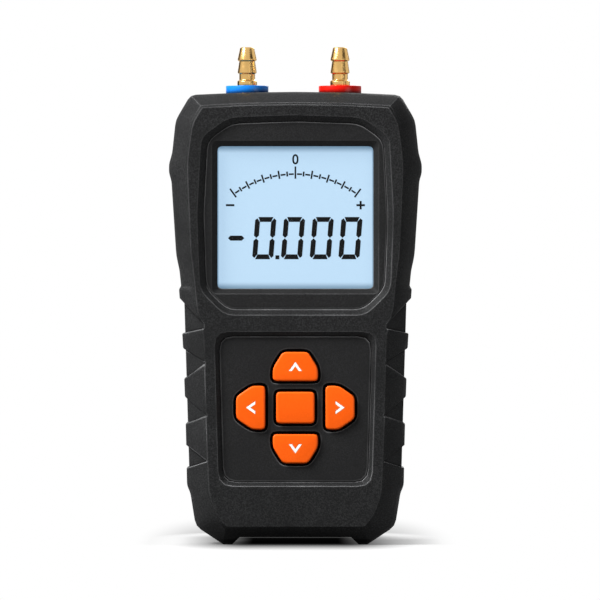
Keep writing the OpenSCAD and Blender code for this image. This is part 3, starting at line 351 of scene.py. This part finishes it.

# Edges of a moulding: Normal rounds them over Radius, Edge is a mask of those that stand out and
# face up, or in part to the front, which wear and a painted highlight make pale, and Crevice one
# of the inner corners and of the edges that face down, back or right, which painted shade makes
# dark
edges, edges_in, edges_out = new_group(
    "rounded_edges",
    ["Radius"],
    [
        ("Normal", "NodeSocketVector"),
        ("Edge", "NodeSocketFloat"),
        ("Crevice", "NodeSocketFloat"),
    ],
)
edge_reach_in_radii = 1.6
crevice_reach = 2 * mm
painted_light_from = (-0.2, -0.3, 0.93)
rounding = add_node(edges, "ShaderNodeBevel", {"Radius": edges_in.outputs[0]}, samples=6)
edge_reach = product(edges, edges_in.outputs[0], edge_reach_in_radii)
behind = add_node(
    edges,
    "ShaderNodeAmbientOcclusion",
    {"Distance": edge_reach},
    samples=8,
    inside=True,
    only_local=True,
)
edge_mask = stretch(edges, behind.outputs["AO"], 0.97, 0.7)
# Painted shade in the inner corners
before = add_node(edges, "ShaderNodeAmbientOcclusion", {"Distance": crevice_reach}, samples=8)
crevice_mask = stretch(edges, before.outputs["AO"], 0.95, 0.62)
facing = add_node(
    edges,
    "ShaderNodeVectorMath",
    {0: rounding.outputs[0], 1: painted_light_from},
    operation="DOT_PRODUCT",
).outputs["Value"]
# Painted highlight, with some wear, on the edges that face the light, and painted shade on those
# that face away
lit_worn_edge = product(edges, edge_mask, stretch(edges, facing, 0.22, 0.48))
dark_edge = product(edges, edge_mask, stretch(edges, facing, 0.06, -0.16))
dark = add_node(edges, "ShaderNodeMath", {0: crevice_mask, 1: dark_edge}, operation="MAXIMUM")
edges.links.new(rounding.outputs[0], edges_out.inputs["Normal"])
edges.links.new(lit_worn_edge, edges_out.inputs["Edge"])
edges.links.new(dark.outputs[0], edges_out.inputs["Crevice"])


def new_material(name):
    """A new material, its node tree and its shader."""
    material = bpy.data.materials.new(name)
    material.use_nodes = True
    return material, material.node_tree, material.node_tree.nodes["Principled BSDF"]


def surface_of(tree, per_metre, radius):
    """The grain and the rounded edges of one material."""
    surface = add_node(tree, "ShaderNodeGroup", {"Per Metre": per_metre}, node_tree=grain)
    rim = add_node(tree, "ShaderNodeGroup", {"Radius": radius}, node_tree=edges)
    return surface, rim


def raise_grain(tree, shader, surface, rim, strength, depth):
    """Lays the grain's bumps over the rounded edges."""
    bump = add_node(
        tree,
        "ShaderNodeBump",
        {
            "Height": surface.outputs["Height"],
            "Normal": rim.outputs["Normal"],
            "Strength": strength,
            "Distance": depth,
        },
    )
    tree.links.new(bump.outputs[0], shader.inputs["Normal"])


def moulded(name, deep, pale, worn_and_lit, rough, per_metre, grain_depth, radius, specular=0.5):
    """A moulded plastic: its colour wanders from deep to pale, wear and a painted highlight make
    its edges that face up pale, and painted shade darkens its crevices and the edges that face
    away.
    """
    material, tree, shader = new_material(name)
    surface, rim = surface_of(tree, per_metre, radius)
    tone = surface.outputs["Tone"]
    body = blend(tree, product(tree, tone, surface.outputs["Speck"]), deep, pale)
    # Edges that face up are made pale by wear and a painted highlight, crevices dark by painted
    # shade
    wear_and_highlight = product(tree, rim.outputs["Edge"], stretch(tree, tone, 0.35, 0.6, to_start=0.4))
    worn_and_highlit = blend(tree, wear_and_highlight, body, worn_and_lit)
    finished = blend(tree, rim.outputs["Crevice"], worn_and_highlit, [share / 5 for share in deep])
    tree.links.new(finished, shader.inputs["Base Color"])
    gloss = stretch(tree, tone, 0.3, 0.7, rough - 0.05, rough + 0.05)
    tree.links.new(gloss, shader.inputs["Roughness"])
    raise_grain(tree, shader, surface, rim, 0.6, grain_depth)
    shader.inputs["Specular IOR Level"].default_value = specular
    return material


def paint(piece, material):
    """Gives every slot of a piece the same material."""
    if not piece.data.materials:
        piece.data.materials.append(material)
    for i in range(len(piece.data.materials)):
        piece.data.materials[i] = material


def only(piece):
    """Selects one piece alone and makes it the active one."""
    if bpy.context.object and bpy.context.object.mode == "EDIT":
        bpy.ops.object.mode_set(mode="OBJECT")
    bpy.ops.object.select_all(action="DESELECT")
    piece.select_set(True)
    bpy.context.view_layer.objects.active = piece


same_corner = 0.002 * mm
same_face_angle = math.radians(0.4)


def merged_copy(node, name):
    """A copy of a CAD node's mesh with its corners merged and its flat faces whole."""
    piece = bpy.data.objects.new(name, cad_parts[node].data.copy())
    bpy.context.scene.collection.objects.link(piece)
    only(piece)
    bpy.ops.mesh.customdata_custom_splitnormals_clear()
    bpy.ops.object.mode_set(mode="EDIT")
    bpy.ops.mesh.select_all(action="SELECT")
    bpy.ops.mesh.remove_doubles(threshold=same_corner)
    bpy.ops.mesh.dissolve_limited(angle_limit=same_face_angle)
    bpy.ops.object.mode_set(mode="OBJECT")
    return piece


def smooth(piece, degrees):
    """Shades a piece smooth, but for its edges that are sharper than the angle."""
    only(piece)
    bpy.ops.object.shade_smooth_by_angle(angle=math.radians(degrees))


def stands_for(piece, node, body):
    """The piece takes a CAD node's place and moves with its body."""
    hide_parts(node)
    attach(piece, body)


case_black = moulded(
    "case_black",
    deep=(0.012, 0.0122, 0.0125),
    pale=(0.042, 0.0426, 0.0434),
    worn_and_lit=(0.4, 0.404, 0.41),
    rough=0.5,
    per_metre=2600,
    grain_depth=0.09 * mm,
    radius=0.3 * mm,
    specular=0.03,
)
# The grip's grooves have walls that run straight back, and the mould rounds the outer edges of
# all but the lowest groove. The seam of the two shells stays sharp
groove_edge_r = 0.4 * mm
groove_edge_angle = math.radians(40)
grip_half_w = 27 * mm
grip_low = 36 * mm
grip_high = 82 * mm
seam_y = -6 * mm
seam_clear = 0.7 * mm


def is_groove_wall(face):
    """A groove's wall runs straight back and faces more up or down than to the side."""
    return abs(face.normal.y) < 0.02 and abs(face.normal.z) > 0.6


def is_groove_edge(edge):
    """An outer edge between a groove's wall and the outside of the case."""
    middle = (edge.verts[0].co + edge.verts[1].co) / 2
    on_grip = (
        min(abs(v.co.x) for v in edge.verts) >= grip_half_w
        and grip_low < middle.z < grip_high
        and abs(middle.y - seam_y) >= seam_clear
    )
    if not on_grip or len(edge.link_faces) != 2 or not edge.is_convex:
        return False
    walls = [face for face in edge.link_faces if is_groove_wall(face)]
    return len(walls) == 1 and edge.calc_face_angle() > groove_edge_angle


def round_grooves(shell, node):
    """Rounds the grooves' outer edges, and keeps the shell within its node's box."""
    low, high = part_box(node)
    mesh = bmesh.new()
    mesh.from_mesh(shell.data)
    bmesh.ops.bevel(
        mesh,
        geom=[edge for edge in mesh.edges if is_groove_edge(edge)],
        offset=groove_edge_r,
        segments=2,
        profile=0.5,
        affect="EDGES",
        clamp_overlap=False,
    )
    for v in mesh.verts:
        for axis in range(3):
            v.co[axis] = min(max(v.co[axis], low[axis]), high[axis])
    mesh.to_mesh(shell.data)
    mesh.free()


for node, body in (("front_cover", "case"), ("rear_cover", "case"), ("battery_door", "door")):
    shell = merged_copy(node, node + "_moulding")
    if body == "case":
        round_grooves(shell, node)
    smooth(shell, 24)
    paint(shell, case_black)
    stands_for(shell, node, body)

# Case screws and board screws
# Zinc plated self-tapping screws with a cross slot. Those of the case are driven from the back
# and hold the two covers together, and the others hold the circuit board.
metal_edge_r = 0.08 * mm


def metal(name, deep, pale, rough, per_metre, scratch_depth):
    """A worked metal: fine scratches in its gloss and a slow change of shade."""
    material, tree, shader = new_material(name)
    shader.inputs["Metallic"].default_value = 1
    surface, rim = surface_of(tree, per_metre, metal_edge_r)
    body = blend(tree, surface.outputs["Tone"], deep, pale)
    tree.links.new(body, shader.inputs["Base Color"])
    gloss = stretch(tree, surface.outputs["Height"], 0.3, 0.7, rough * 0.7, rough * 1.3)
    tree.links.new(gloss, shader.inputs["Roughness"])
    raise_grain(tree, shader, surface, rim, 0.3, scratch_depth)
    return material


zinc = metal(
    "zinc_plate",
    deep=(0.42, 0.43, 0.45),
    pale=(0.66, 0.67, 0.68),
    rough=0.34,
    per_metre=1800,
    scratch_depth=0.02 * mm,
)
for node in ("case_screws", "board_screws"):
    screws = merged_copy(node, node + "_turned")
    smooth(screws, 30)
    paint(screws, zinc)
    stands_for(screws, node, "case")

# Display frame
# A black plate, moulded smoother than the case, that is set into a recess of the front cover. It
# has a sloped edge round the window.
frame_black = moulded(
    "frame_black",
    deep=(0.014, 0.0141, 0.0144),
    pale=(0.031, 0.0312, 0.0318),
    worn_and_lit=(0.22, 0.221, 0.225),
    rough=0.42,
    per_metre=3200,
    grain_depth=0.02 * mm,
    radius=0.3 * mm,
    specular=0.03,
)
bezel = merged_copy("display_bezel", "display_bezel_plate")
smooth(bezel, 24)
paint(bezel, frame_black)
stands_for(bezel, "display_bezel", "case")

# Clear window
# A flat sheet of clear plastic that lies behind the frame. It is almost unseen from the front,
# and its gloss is a little uneven.
clear, tree, shader = new_material("clear_sheet")
shader.inputs["Base Color"].default_value = (0.05, 0.055, 0.06, 1)
shader.inputs["Alpha"].default_value = 0.02
shader.inputs["Specular IOR Level"].default_value = 0.1
sheet_grain = add_node(tree, "ShaderNodeGroup", {"Per Metre": 400}, node_tree=grain)
sheet_gloss = stretch(tree, sheet_grain.outputs["Tone"], to_start=0.03, to_end=0.09)
tree.links.new(sheet_gloss, shader.inputs["Roughness"])
paint(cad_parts["display_lens"], clear)

# Display
# A glass panel lit from behind by a white plate. Its figures are near black liquid crystal, and a
# painted shadow of the frame darkens it towards its rims, more at top and bottom.
window_side = 25.3 * mm
window_low = 83.2 * mm
window_high = 129.4 * mm
side_rim = 0.6 * mm
end_rim = 2.4 * mm
frame_shadow_blue = (0.17, 0.3, 0.44)
panel_blue = (0.524, 0.745, 0.965)
lcd, tree, shader = new_material("lit_panel")
place = own_place(tree)


def from_rim(axis, low, high, reach):
    """0 at two opposite rims of the window, 1 at reach or more from both."""
    return product(
        tree,
        stretch(tree, place[axis], low, low + reach, soft=True),
        stretch(tree, place[axis], high, high - reach, soft=True),
    )


# A painted shadow of the frame darkens the panel towards its rims
across = from_rim("X", -window_side, window_side, side_rim)
upwards = from_rim("Z", window_low, window_high, end_rim)
panel_colour = blend(tree, product(tree, across, upwards), frame_shadow_blue, panel_blue)
tree.links.new(panel_colour, shader.inputs["Emission Color"])
shader.inputs["Emission Strength"].default_value = 0.88
shader.inputs["Base Color"].default_value = (0.08, 0.1, 0.11, 1)
panel_grain = add_node(tree, "ShaderNodeGroup", {"Per Metre": 3000}, node_tree=grain)
panel_gloss = stretch(tree, panel_grain.outputs["Height"], to_start=0.3, to_end=0.45)
tree.links.new(panel_gloss, shader.inputs["Roughness"])
shader.inputs["Specular IOR Level"].default_value = 0.08
paint(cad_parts["lcd_glass"], lcd)

ink = moulded(
    "display_ink",
    deep=(0.006, 0.007, 0.008),
    pale=(0.012, 0.013, 0.015),
    worn_and_lit=(0.014, 0.015, 0.017),
    rough=0.5,
    per_metre=2500,
    grain_depth=0.005 * mm,
    radius=0.02 * mm,
    specular=0.1,
)
# The liquid crystal spreads a little past the outline of each figure, within the same thin layer
ink_spread = 0.12 * mm
figures = merged_copy("lcd_segments", "lcd_figures")
low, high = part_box("lcd_segments")
only(figures)
bpy.ops.object.mode_set(mode="EDIT")
bpy.ops.mesh.select_all(action="SELECT")
bpy.ops.transform.shrink_fatten(value=ink_spread)
bpy.ops.object.mode_set(mode="OBJECT")
for v in figures.data.vertices:
    v.co.y = low[1] if v.co.y < (low[1] + high[1]) / 2 else high[1]
paint(figures, ink)
stands_for(figures, "lcd_segments", "case")

# Light plate, holder and contact strips
# A milky acrylic plate spreads the light, an ivory frame holds the panel on the board, and two
# striped rubber strips carry its signals.
milky = moulded(
    "milky_acrylic",
    deep=(0.8, 0.83, 0.86),
    pale=(0.9, 0.92, 0.94),
    worn_and_lit=(0.92, 0.94, 0.95),
    rough=0.3,
    per_metre=900,
    grain_depth=0.01 * mm,
    radius=0.1 * mm,
)
ivory = moulded(
    "ivory_holder",
    deep=(0.62, 0.6, 0.52),
    pale=(0.74, 0.72, 0.64),
    worn_and_lit=(0.8, 0.78, 0.7),
    rough=0.5,
    per_metre=1500,
    grain_depth=0.02 * mm,
    radius=0.15 * mm,
)
strip_rubber = moulded(
    "strip_rubber",
    deep=(0.3, 0.3, 0.36),
    pale=(0.5, 0.5, 0.56),
    worn_and_lit=(0.55, 0.55, 0.6),
    rough=0.7,
    per_metre=3500,
    grain_depth=0.02 * mm,
    radius=0.1 * mm,
)
paint(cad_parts["lcd_backlight"], milky)
paint(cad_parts["lcd_holder"], ivory)
paint(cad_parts["lcd_contact_strips"], strip_rubber)

# Keypad plate
# A black moulded plate that lies in its own recess of the front cover, with one opening for each
# key. Its front edges are rounded.
plate_black = moulded(
    "plate_black",
    deep=(0.014, 0.0141, 0.0144),
    pale=(0.03, 0.0302, 0.0308),
    worn_and_lit=(0.26, 0.262, 0.266),
    rough=0.45,
    per_metre=3200,
    grain_depth=0.025 * mm,
    radius=0.4 * mm,
    specular=0.03,
)
keypad = merged_copy("keypad_plate", "keypad_plate_moulding")
smooth(keypad, 24)
paint(keypad, plate_black)
stands_for(keypad, "keypad_plate", "case")

# Keys and their arrows
# Five satin orange caps that stand proud of the plate, rounded all round their tops. Four carry
# a white arrow that is filled into the cap.
key_orange = moulded(
    "key_orange",
    deep=(0.83, 0.098, 0.003),
    pale=(0.9, 0.12, 0.005),
    worn_and_lit=(1.0, 0.22, 0.03),
    rough=0.42,
    per_metre=2200,
    grain_depth=0.02 * mm,
    radius=0.3 * mm,
    specular=0.1,
)
arrow_white = moulded(
    "arrow_white",
    deep=(0.84, 0.84, 0.82),
    pale=(0.94, 0.94, 0.92),
    worn_and_lit=(0.95, 0.95, 0.94),
    rough=0.5,
    per_metre=2500,
    grain_depth=0.005 * mm,
    radius=0.03 * mm,
)
key_edge_r = 0.55 * mm
key_edge_angle = math.radians(57.3)
arrow_reach = 3.2 * mm
directions = ("centre", "up", "down", "left", "right")


def round_top(cap, node):
    """Rounds the outline of a cap's front face, and leaves the pocket of its arrow sharp."""
    low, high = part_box(node)
    middle = (low + high) / 2
    front_middle = Vector((middle.x, low.y, middle.z))

    def on_outline(v):
        at_front = abs(v.co.y - low.y) < 0.01 * mm
        return at_front and (v.co - front_middle).length > arrow_reach

    mesh = bmesh.new()
    mesh.from_mesh(cap.data)
    rim = [
        edge
        for edge in mesh.edges
        if all(on_outline(v) for v in edge.verts)
        and len(edge.link_faces) == 2
        and edge.calc_face_angle(0) > key_edge_angle
    ]
    bmesh.ops.bevel(
        mesh,
        geom=rim,
        offset=key_edge_r,
        segments=5,
        profile=0.5,
        affect="EDGES",
        clamp_overlap=True,
    )
    mesh.to_mesh(cap.data)
    mesh.free()


for direction in directions:
    node = "button_" + direction
    cap = merged_copy(node, "key_cap_" + direction)
    round_top(cap, node)
    smooth(cap, 35)
    paint(cap, key_orange)
    stands_for(cap, node, "key_" + direction)
    if direction != "centre":
        paint(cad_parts["arrow_" + direction], arrow_white)

# Rubber mat and domes
# A dark silicone mat with a soft dome under each key, which in the real keypad folds when its key
# is pressed and pushes it back. Here each dome keeps its shape and stays with the case.
mat_rubber = moulded(
    "mat_rubber",
    deep=(0.03, 0.03, 0.033),
    pale=(0.05, 0.05, 0.055),
    worn_and_lit=(0.07, 0.07, 0.075),
    rough=0.65,
    per_metre=1800,
    grain_depth=0.03 * mm,
    radius=0.2 * mm,
    specular=0.3,
)
paint(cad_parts["key_mat"], mat_rubber)
for direction in directions:
    node = "key_dome_" + direction
    dome = merged_copy(node, "soft_dome_" + direction)
    smooth(dome, 30)
    paint(dome, mat_rubber)
    stands_for(dome, node, "case")
    low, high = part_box(node)
    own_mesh(dome)

# Circuit board
# A sheet of glass fibre with fine copper tracks under a green solder mask, and tinned pads. It
# lies across the case behind the display and is held by its own screws.
track_gap = 0.25 * mm
track_l = 11 * mm
track_step = 2.1 * mm
pads_per_metre = 240
mask_green = (0.018, 0.15, 0.055, 1)
mask_pale_green = (0.024, 0.18, 0.07, 1)
copper_green = (0.05, 0.3, 0.12, 1)
tinned = (0.55, 0.52, 0.44)
board, tree, shader = new_material("board_green")
here = add_node(tree, "ShaderNodeTexCoord").outputs["Object"]
turned = add_node(
    tree, "ShaderNodeMapping", {"Vector": here, "Rotation": (math.radians(90), 0, 0)}
)
tracks = add_node(
    tree,
    "ShaderNodeTexBrick",
    {
        "Vector": turned.outputs[0],
        "Scale": 1,
        "Mortar Size": track_gap,
        "Brick Width": track_l,
        "Row Height": track_step,
        "Color1": mask_green,
        "Color2": mask_pale_green,
        "Mortar": copper_green,
    },
    offset=0.37,
)
pads = add_node(
    tree, "ShaderNodeTexVoronoi", {"Vector": here, "Scale": pads_per_metre, "Randomness": 0.7}
)
pad_mask = stretch(tree, pads.outputs["Distance"], 0.16, 0.12)
board_colour = blend(tree, pad_mask, tracks.outputs["Color"], tinned)
tree.links.new(board_colour, shader.inputs["Base Color"])
board_bump = add_node(
    tree,
    "ShaderNodeBump",
    {"Height": tracks.outputs["Fac"], "Strength": 0.5, "Distance": 0.03 * mm},
)
tree.links.new(board_bump.outputs[0], shader.inputs["Normal"])
shader.inputs["Roughness"].default_value = 0.35
paint(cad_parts["main_board"], board)

# Parts on the board
# A microcontroller, a round buzzer and the pressure sensor with its two inlets, all in black
# mouldings, and small parts of tan ceramic. They are soldered to the board.
chip_black = moulded(
    "chip_black",
    deep=(0.014, 0.014, 0.016),
    pale=(0.028, 0.028, 0.03),
    worn_and_lit=(0.06, 0.06, 0.065),
    rough=0.5,
    per_metre=1500,
    grain_depth=0.02 * mm,
    radius=0.12 * mm,
)
ceramic_tan = moulded(
    "ceramic_tan",
    deep=(0.26, 0.17, 0.09),
    pale=(0.42, 0.3, 0.18),
    worn_and_lit=(0.5, 0.4, 0.28),
    rough=0.45,
    per_metre=1200,
    grain_depth=0.01 * mm,
    radius=0.1 * mm,
)
paint(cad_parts["board_parts"], ceramic_tan)
for node in ("microcontroller", "buzzer", "pressure_sensor"):
    paint(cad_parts[node], chip_black)

# Hose barbs
# Two fittings turned from brass rod, each with two ridges that grip the hose and a passage
# through it. A collar, a rubber ring and a nut hold each one in the top of the case.
port_middle = -0.6
port_spacing = 30.3
port_places = {
    "left": port_middle - port_spacing / 2,
    "right": port_middle + port_spacing / 2,
}
barb_low = 134.0
tail_high = 139.0
foot_low = 149.4
barb_high = 162.0
barb_bore_r = 1.1
tail_r = 1.9
stem_r = 2.5
foot_r = 3.25
neck_r = 2.6
ridge_r = 3.1
lip_r = 2.33
tip_r = 2.03
barb_profile = [
    (barb_bore_r, barb_low),
    (tail_r, barb_low),
    (tail_r, tail_high),
    (stem_r, tail_high),
    (stem_r, foot_low),
    (foot_r, foot_low),
    (foot_r, 150.9),
    (neck_r, 151.4),
    (neck_r, 153.25),
    (ridge_r, 153.6),
    (ridge_r, 154.05),
    (neck_r, 157.35),
    (ridge_r, 157.7),
    (ridge_r, 158.15),
    (lip_r, 161.7),
    (tip_r, barb_high),
    (barb_bore_r, barb_high),
]
turning_steps = 96
rounded_from = math.radians(12)


def lathe(name, profile, x, edge_r):
    """Turns a closed profile of radius and height, in millimetres, about an upright axis at x."""
    bpy.ops.object.select_all(action="DESELECT")
    start = profile[0]
    bpy.ops.mesh.primitive_plane_add(
        size=mm, location=((x + start[0]) * mm, 0, start[1] * mm)
    )
    piece = bpy.context.object
    piece.name = name
    piece.data.name = name
    bpy.ops.object.transform_apply(location=True)
    bpy.ops.object.mode_set(mode="EDIT")
    bpy.ops.mesh.select_all(action="SELECT")
    bpy.ops.mesh.merge(type="CENTER")
    here = start
    for there in profile[1:] + profile[:1]:
        step = ((there[0] - here[0]) * mm, 0, (there[1] - here[1]) * mm)
        bpy.ops.mesh.extrude_region_move(TRANSFORM_OT_translate={"value": step})
        here = there
    bpy.ops.mesh.select_all(action="SELECT")
    bpy.ops.mesh.remove_doubles(threshold=0.001 * mm)
    bpy.ops.mesh.select_all(action="SELECT")
    bpy.ops.mesh.spin(
        steps=turning_steps,
        angle=math.radians(360),
        center=(x * mm, 0, 0),
        axis=(0, 0, 1),
    )
    bpy.ops.mesh.select_all(action="SELECT")
    bpy.ops.mesh.remove_doubles(threshold=0.001 * mm)
    bpy.ops.mesh.normals_make_consistent(inside=False)
    bpy.ops.object.mode_set(mode="OBJECT")
    rounding = piece.modifiers.new("rounding", "BEVEL")
    rounding.width = edge_r
    rounding.segments = 3
    rounding.limit_method = "ANGLE"
    rounding.angle_limit = rounded_from
    bpy.ops.object.modifier_apply(modifier="rounding")
    smooth(piece, 50)
    return piece


brass = metal(
    "turned_brass",
    deep=(0.56, 0.33, 0.1),
    pale=(0.8, 0.52, 0.2),
    rough=0.22,
    per_metre=900,
    scratch_depth=0.01 * mm,
)
for side, x in port_places.items():
    barb = lathe("barb_" + side + "_turned", barb_profile, x, edge_r=0.08 * mm)
    paint(barb, brass)
    stands_for(barb, "hose_barb_" + side, "case")
paint(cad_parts["port_nuts"], brass)

# Port collars and rubber rings
# A blue collar marks the left port and a red one the right. Each is a satin plastic washer with
# a groove below for its rubber ring.
collar_hole_r = 2.55
collar_r = 6.95
ring_groove_r = (3.35, 4.65)
collar_low = 146.5
ring_groove_high = 147.5
collar_profile = [
    (collar_hole_r, collar_low),
    (ring_groove_r[0], collar_low),
    (ring_groove_r[0], ring_groove_high),
    (ring_groove_r[1], ring_groove_high),
    (ring_groove_r[1], collar_low),
    (collar_r, collar_low),
    (collar_r, foot_low),
    (collar_hole_r, foot_low),
]
collar_blue = moulded(
    "collar_blue",
    deep=(0.008, 0.18, 0.66),
    pale=(0.016, 0.21, 0.7),
    worn_and_lit=(0.04, 0.28, 0.76),
    rough=0.34,
    per_metre=1500,
    grain_depth=0.01 * mm,
    radius=0.15 * mm,
    specular=0.12,
)
collar_red = moulded(
    "collar_red",
    deep=(0.7, 0.008, 0.003),
    pale=(0.78, 0.012, 0.004),
    worn_and_lit=(0.84, 0.05, 0.015),
    rough=0.34,
    per_metre=1500,
    grain_depth=0.01 * mm,
    radius=0.15 * mm,
    specular=0.12,
)
for side, colour in (("left", collar_blue), ("right", collar_red)):
    name = "collar_" + side + "_turned"
    collar = lathe(name, collar_profile, port_places[side], edge_r=0.2 * mm)
    paint(collar, colour)
    stands_for(collar, "port_collar_" + side, "case")
ring_rubber = moulded(
    "ring_rubber",
    deep=(0.01, 0.01, 0.011),
    pale=(0.02, 0.02, 0.021),
    worn_and_lit=(0.03, 0.03, 0.03),
    rough=0.6,
    per_metre=2000,
    grain_depth=0.01 * mm,
    radius=0.1 * mm,
    specular=0.3,
)
paint(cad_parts["port_o_rings"], ring_rubber)

# Inner hoses
# Two short hoses of milky silicone, each pushed over the tail of a barb and over an inlet of the
# pressure sensor.
silicone = moulded(
    "milky_silicone",
    deep=(0.62, 0.65, 0.67),
    pale=(0.76, 0.78, 0.8),
    worn_and_lit=(0.8, 0.82, 0.84),
    rough=0.45,
    per_metre=700,
    grain_depth=0.02 * mm,
    radius=0.2 * mm,
)
for side in ("left", "right"):
    node = "inner_hose_" + side
    hose = merged_copy(node, node + "_tube")
    smooth(hose, 50)
    paint(hose, silicone)
    stands_for(hose, node, "case")

# Battery cells, springs and contacts
# Three cells lie side by side under the door, each in a plain metal sleeve, between springs and
# contact plates of nickel plated steel.
nickel = metal(
    "nickel_plate",
    deep=(0.5, 0.5, 0.49),
    pale=(0.74, 0.73, 0.71),
    rough=0.28,
    per_metre=1500,
    scratch_depth=0.01 * mm,
)
sleeve = metal(
    "cell_sleeve",
    deep=(0.1, 0.16, 0.22),
    pale=(0.16, 0.24, 0.32),
    rough=0.32,
    per_metre=900,
    scratch_depth=0.01 * mm,
)
for side in ("left", "middle", "right"):
    paint(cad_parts["battery_cell_" + side], sleeve)
for node in ("battery_springs", "battery_contacts"):
    paint(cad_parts[node], nickel)

# The size of the finished model, without the floor and the cards
low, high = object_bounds()
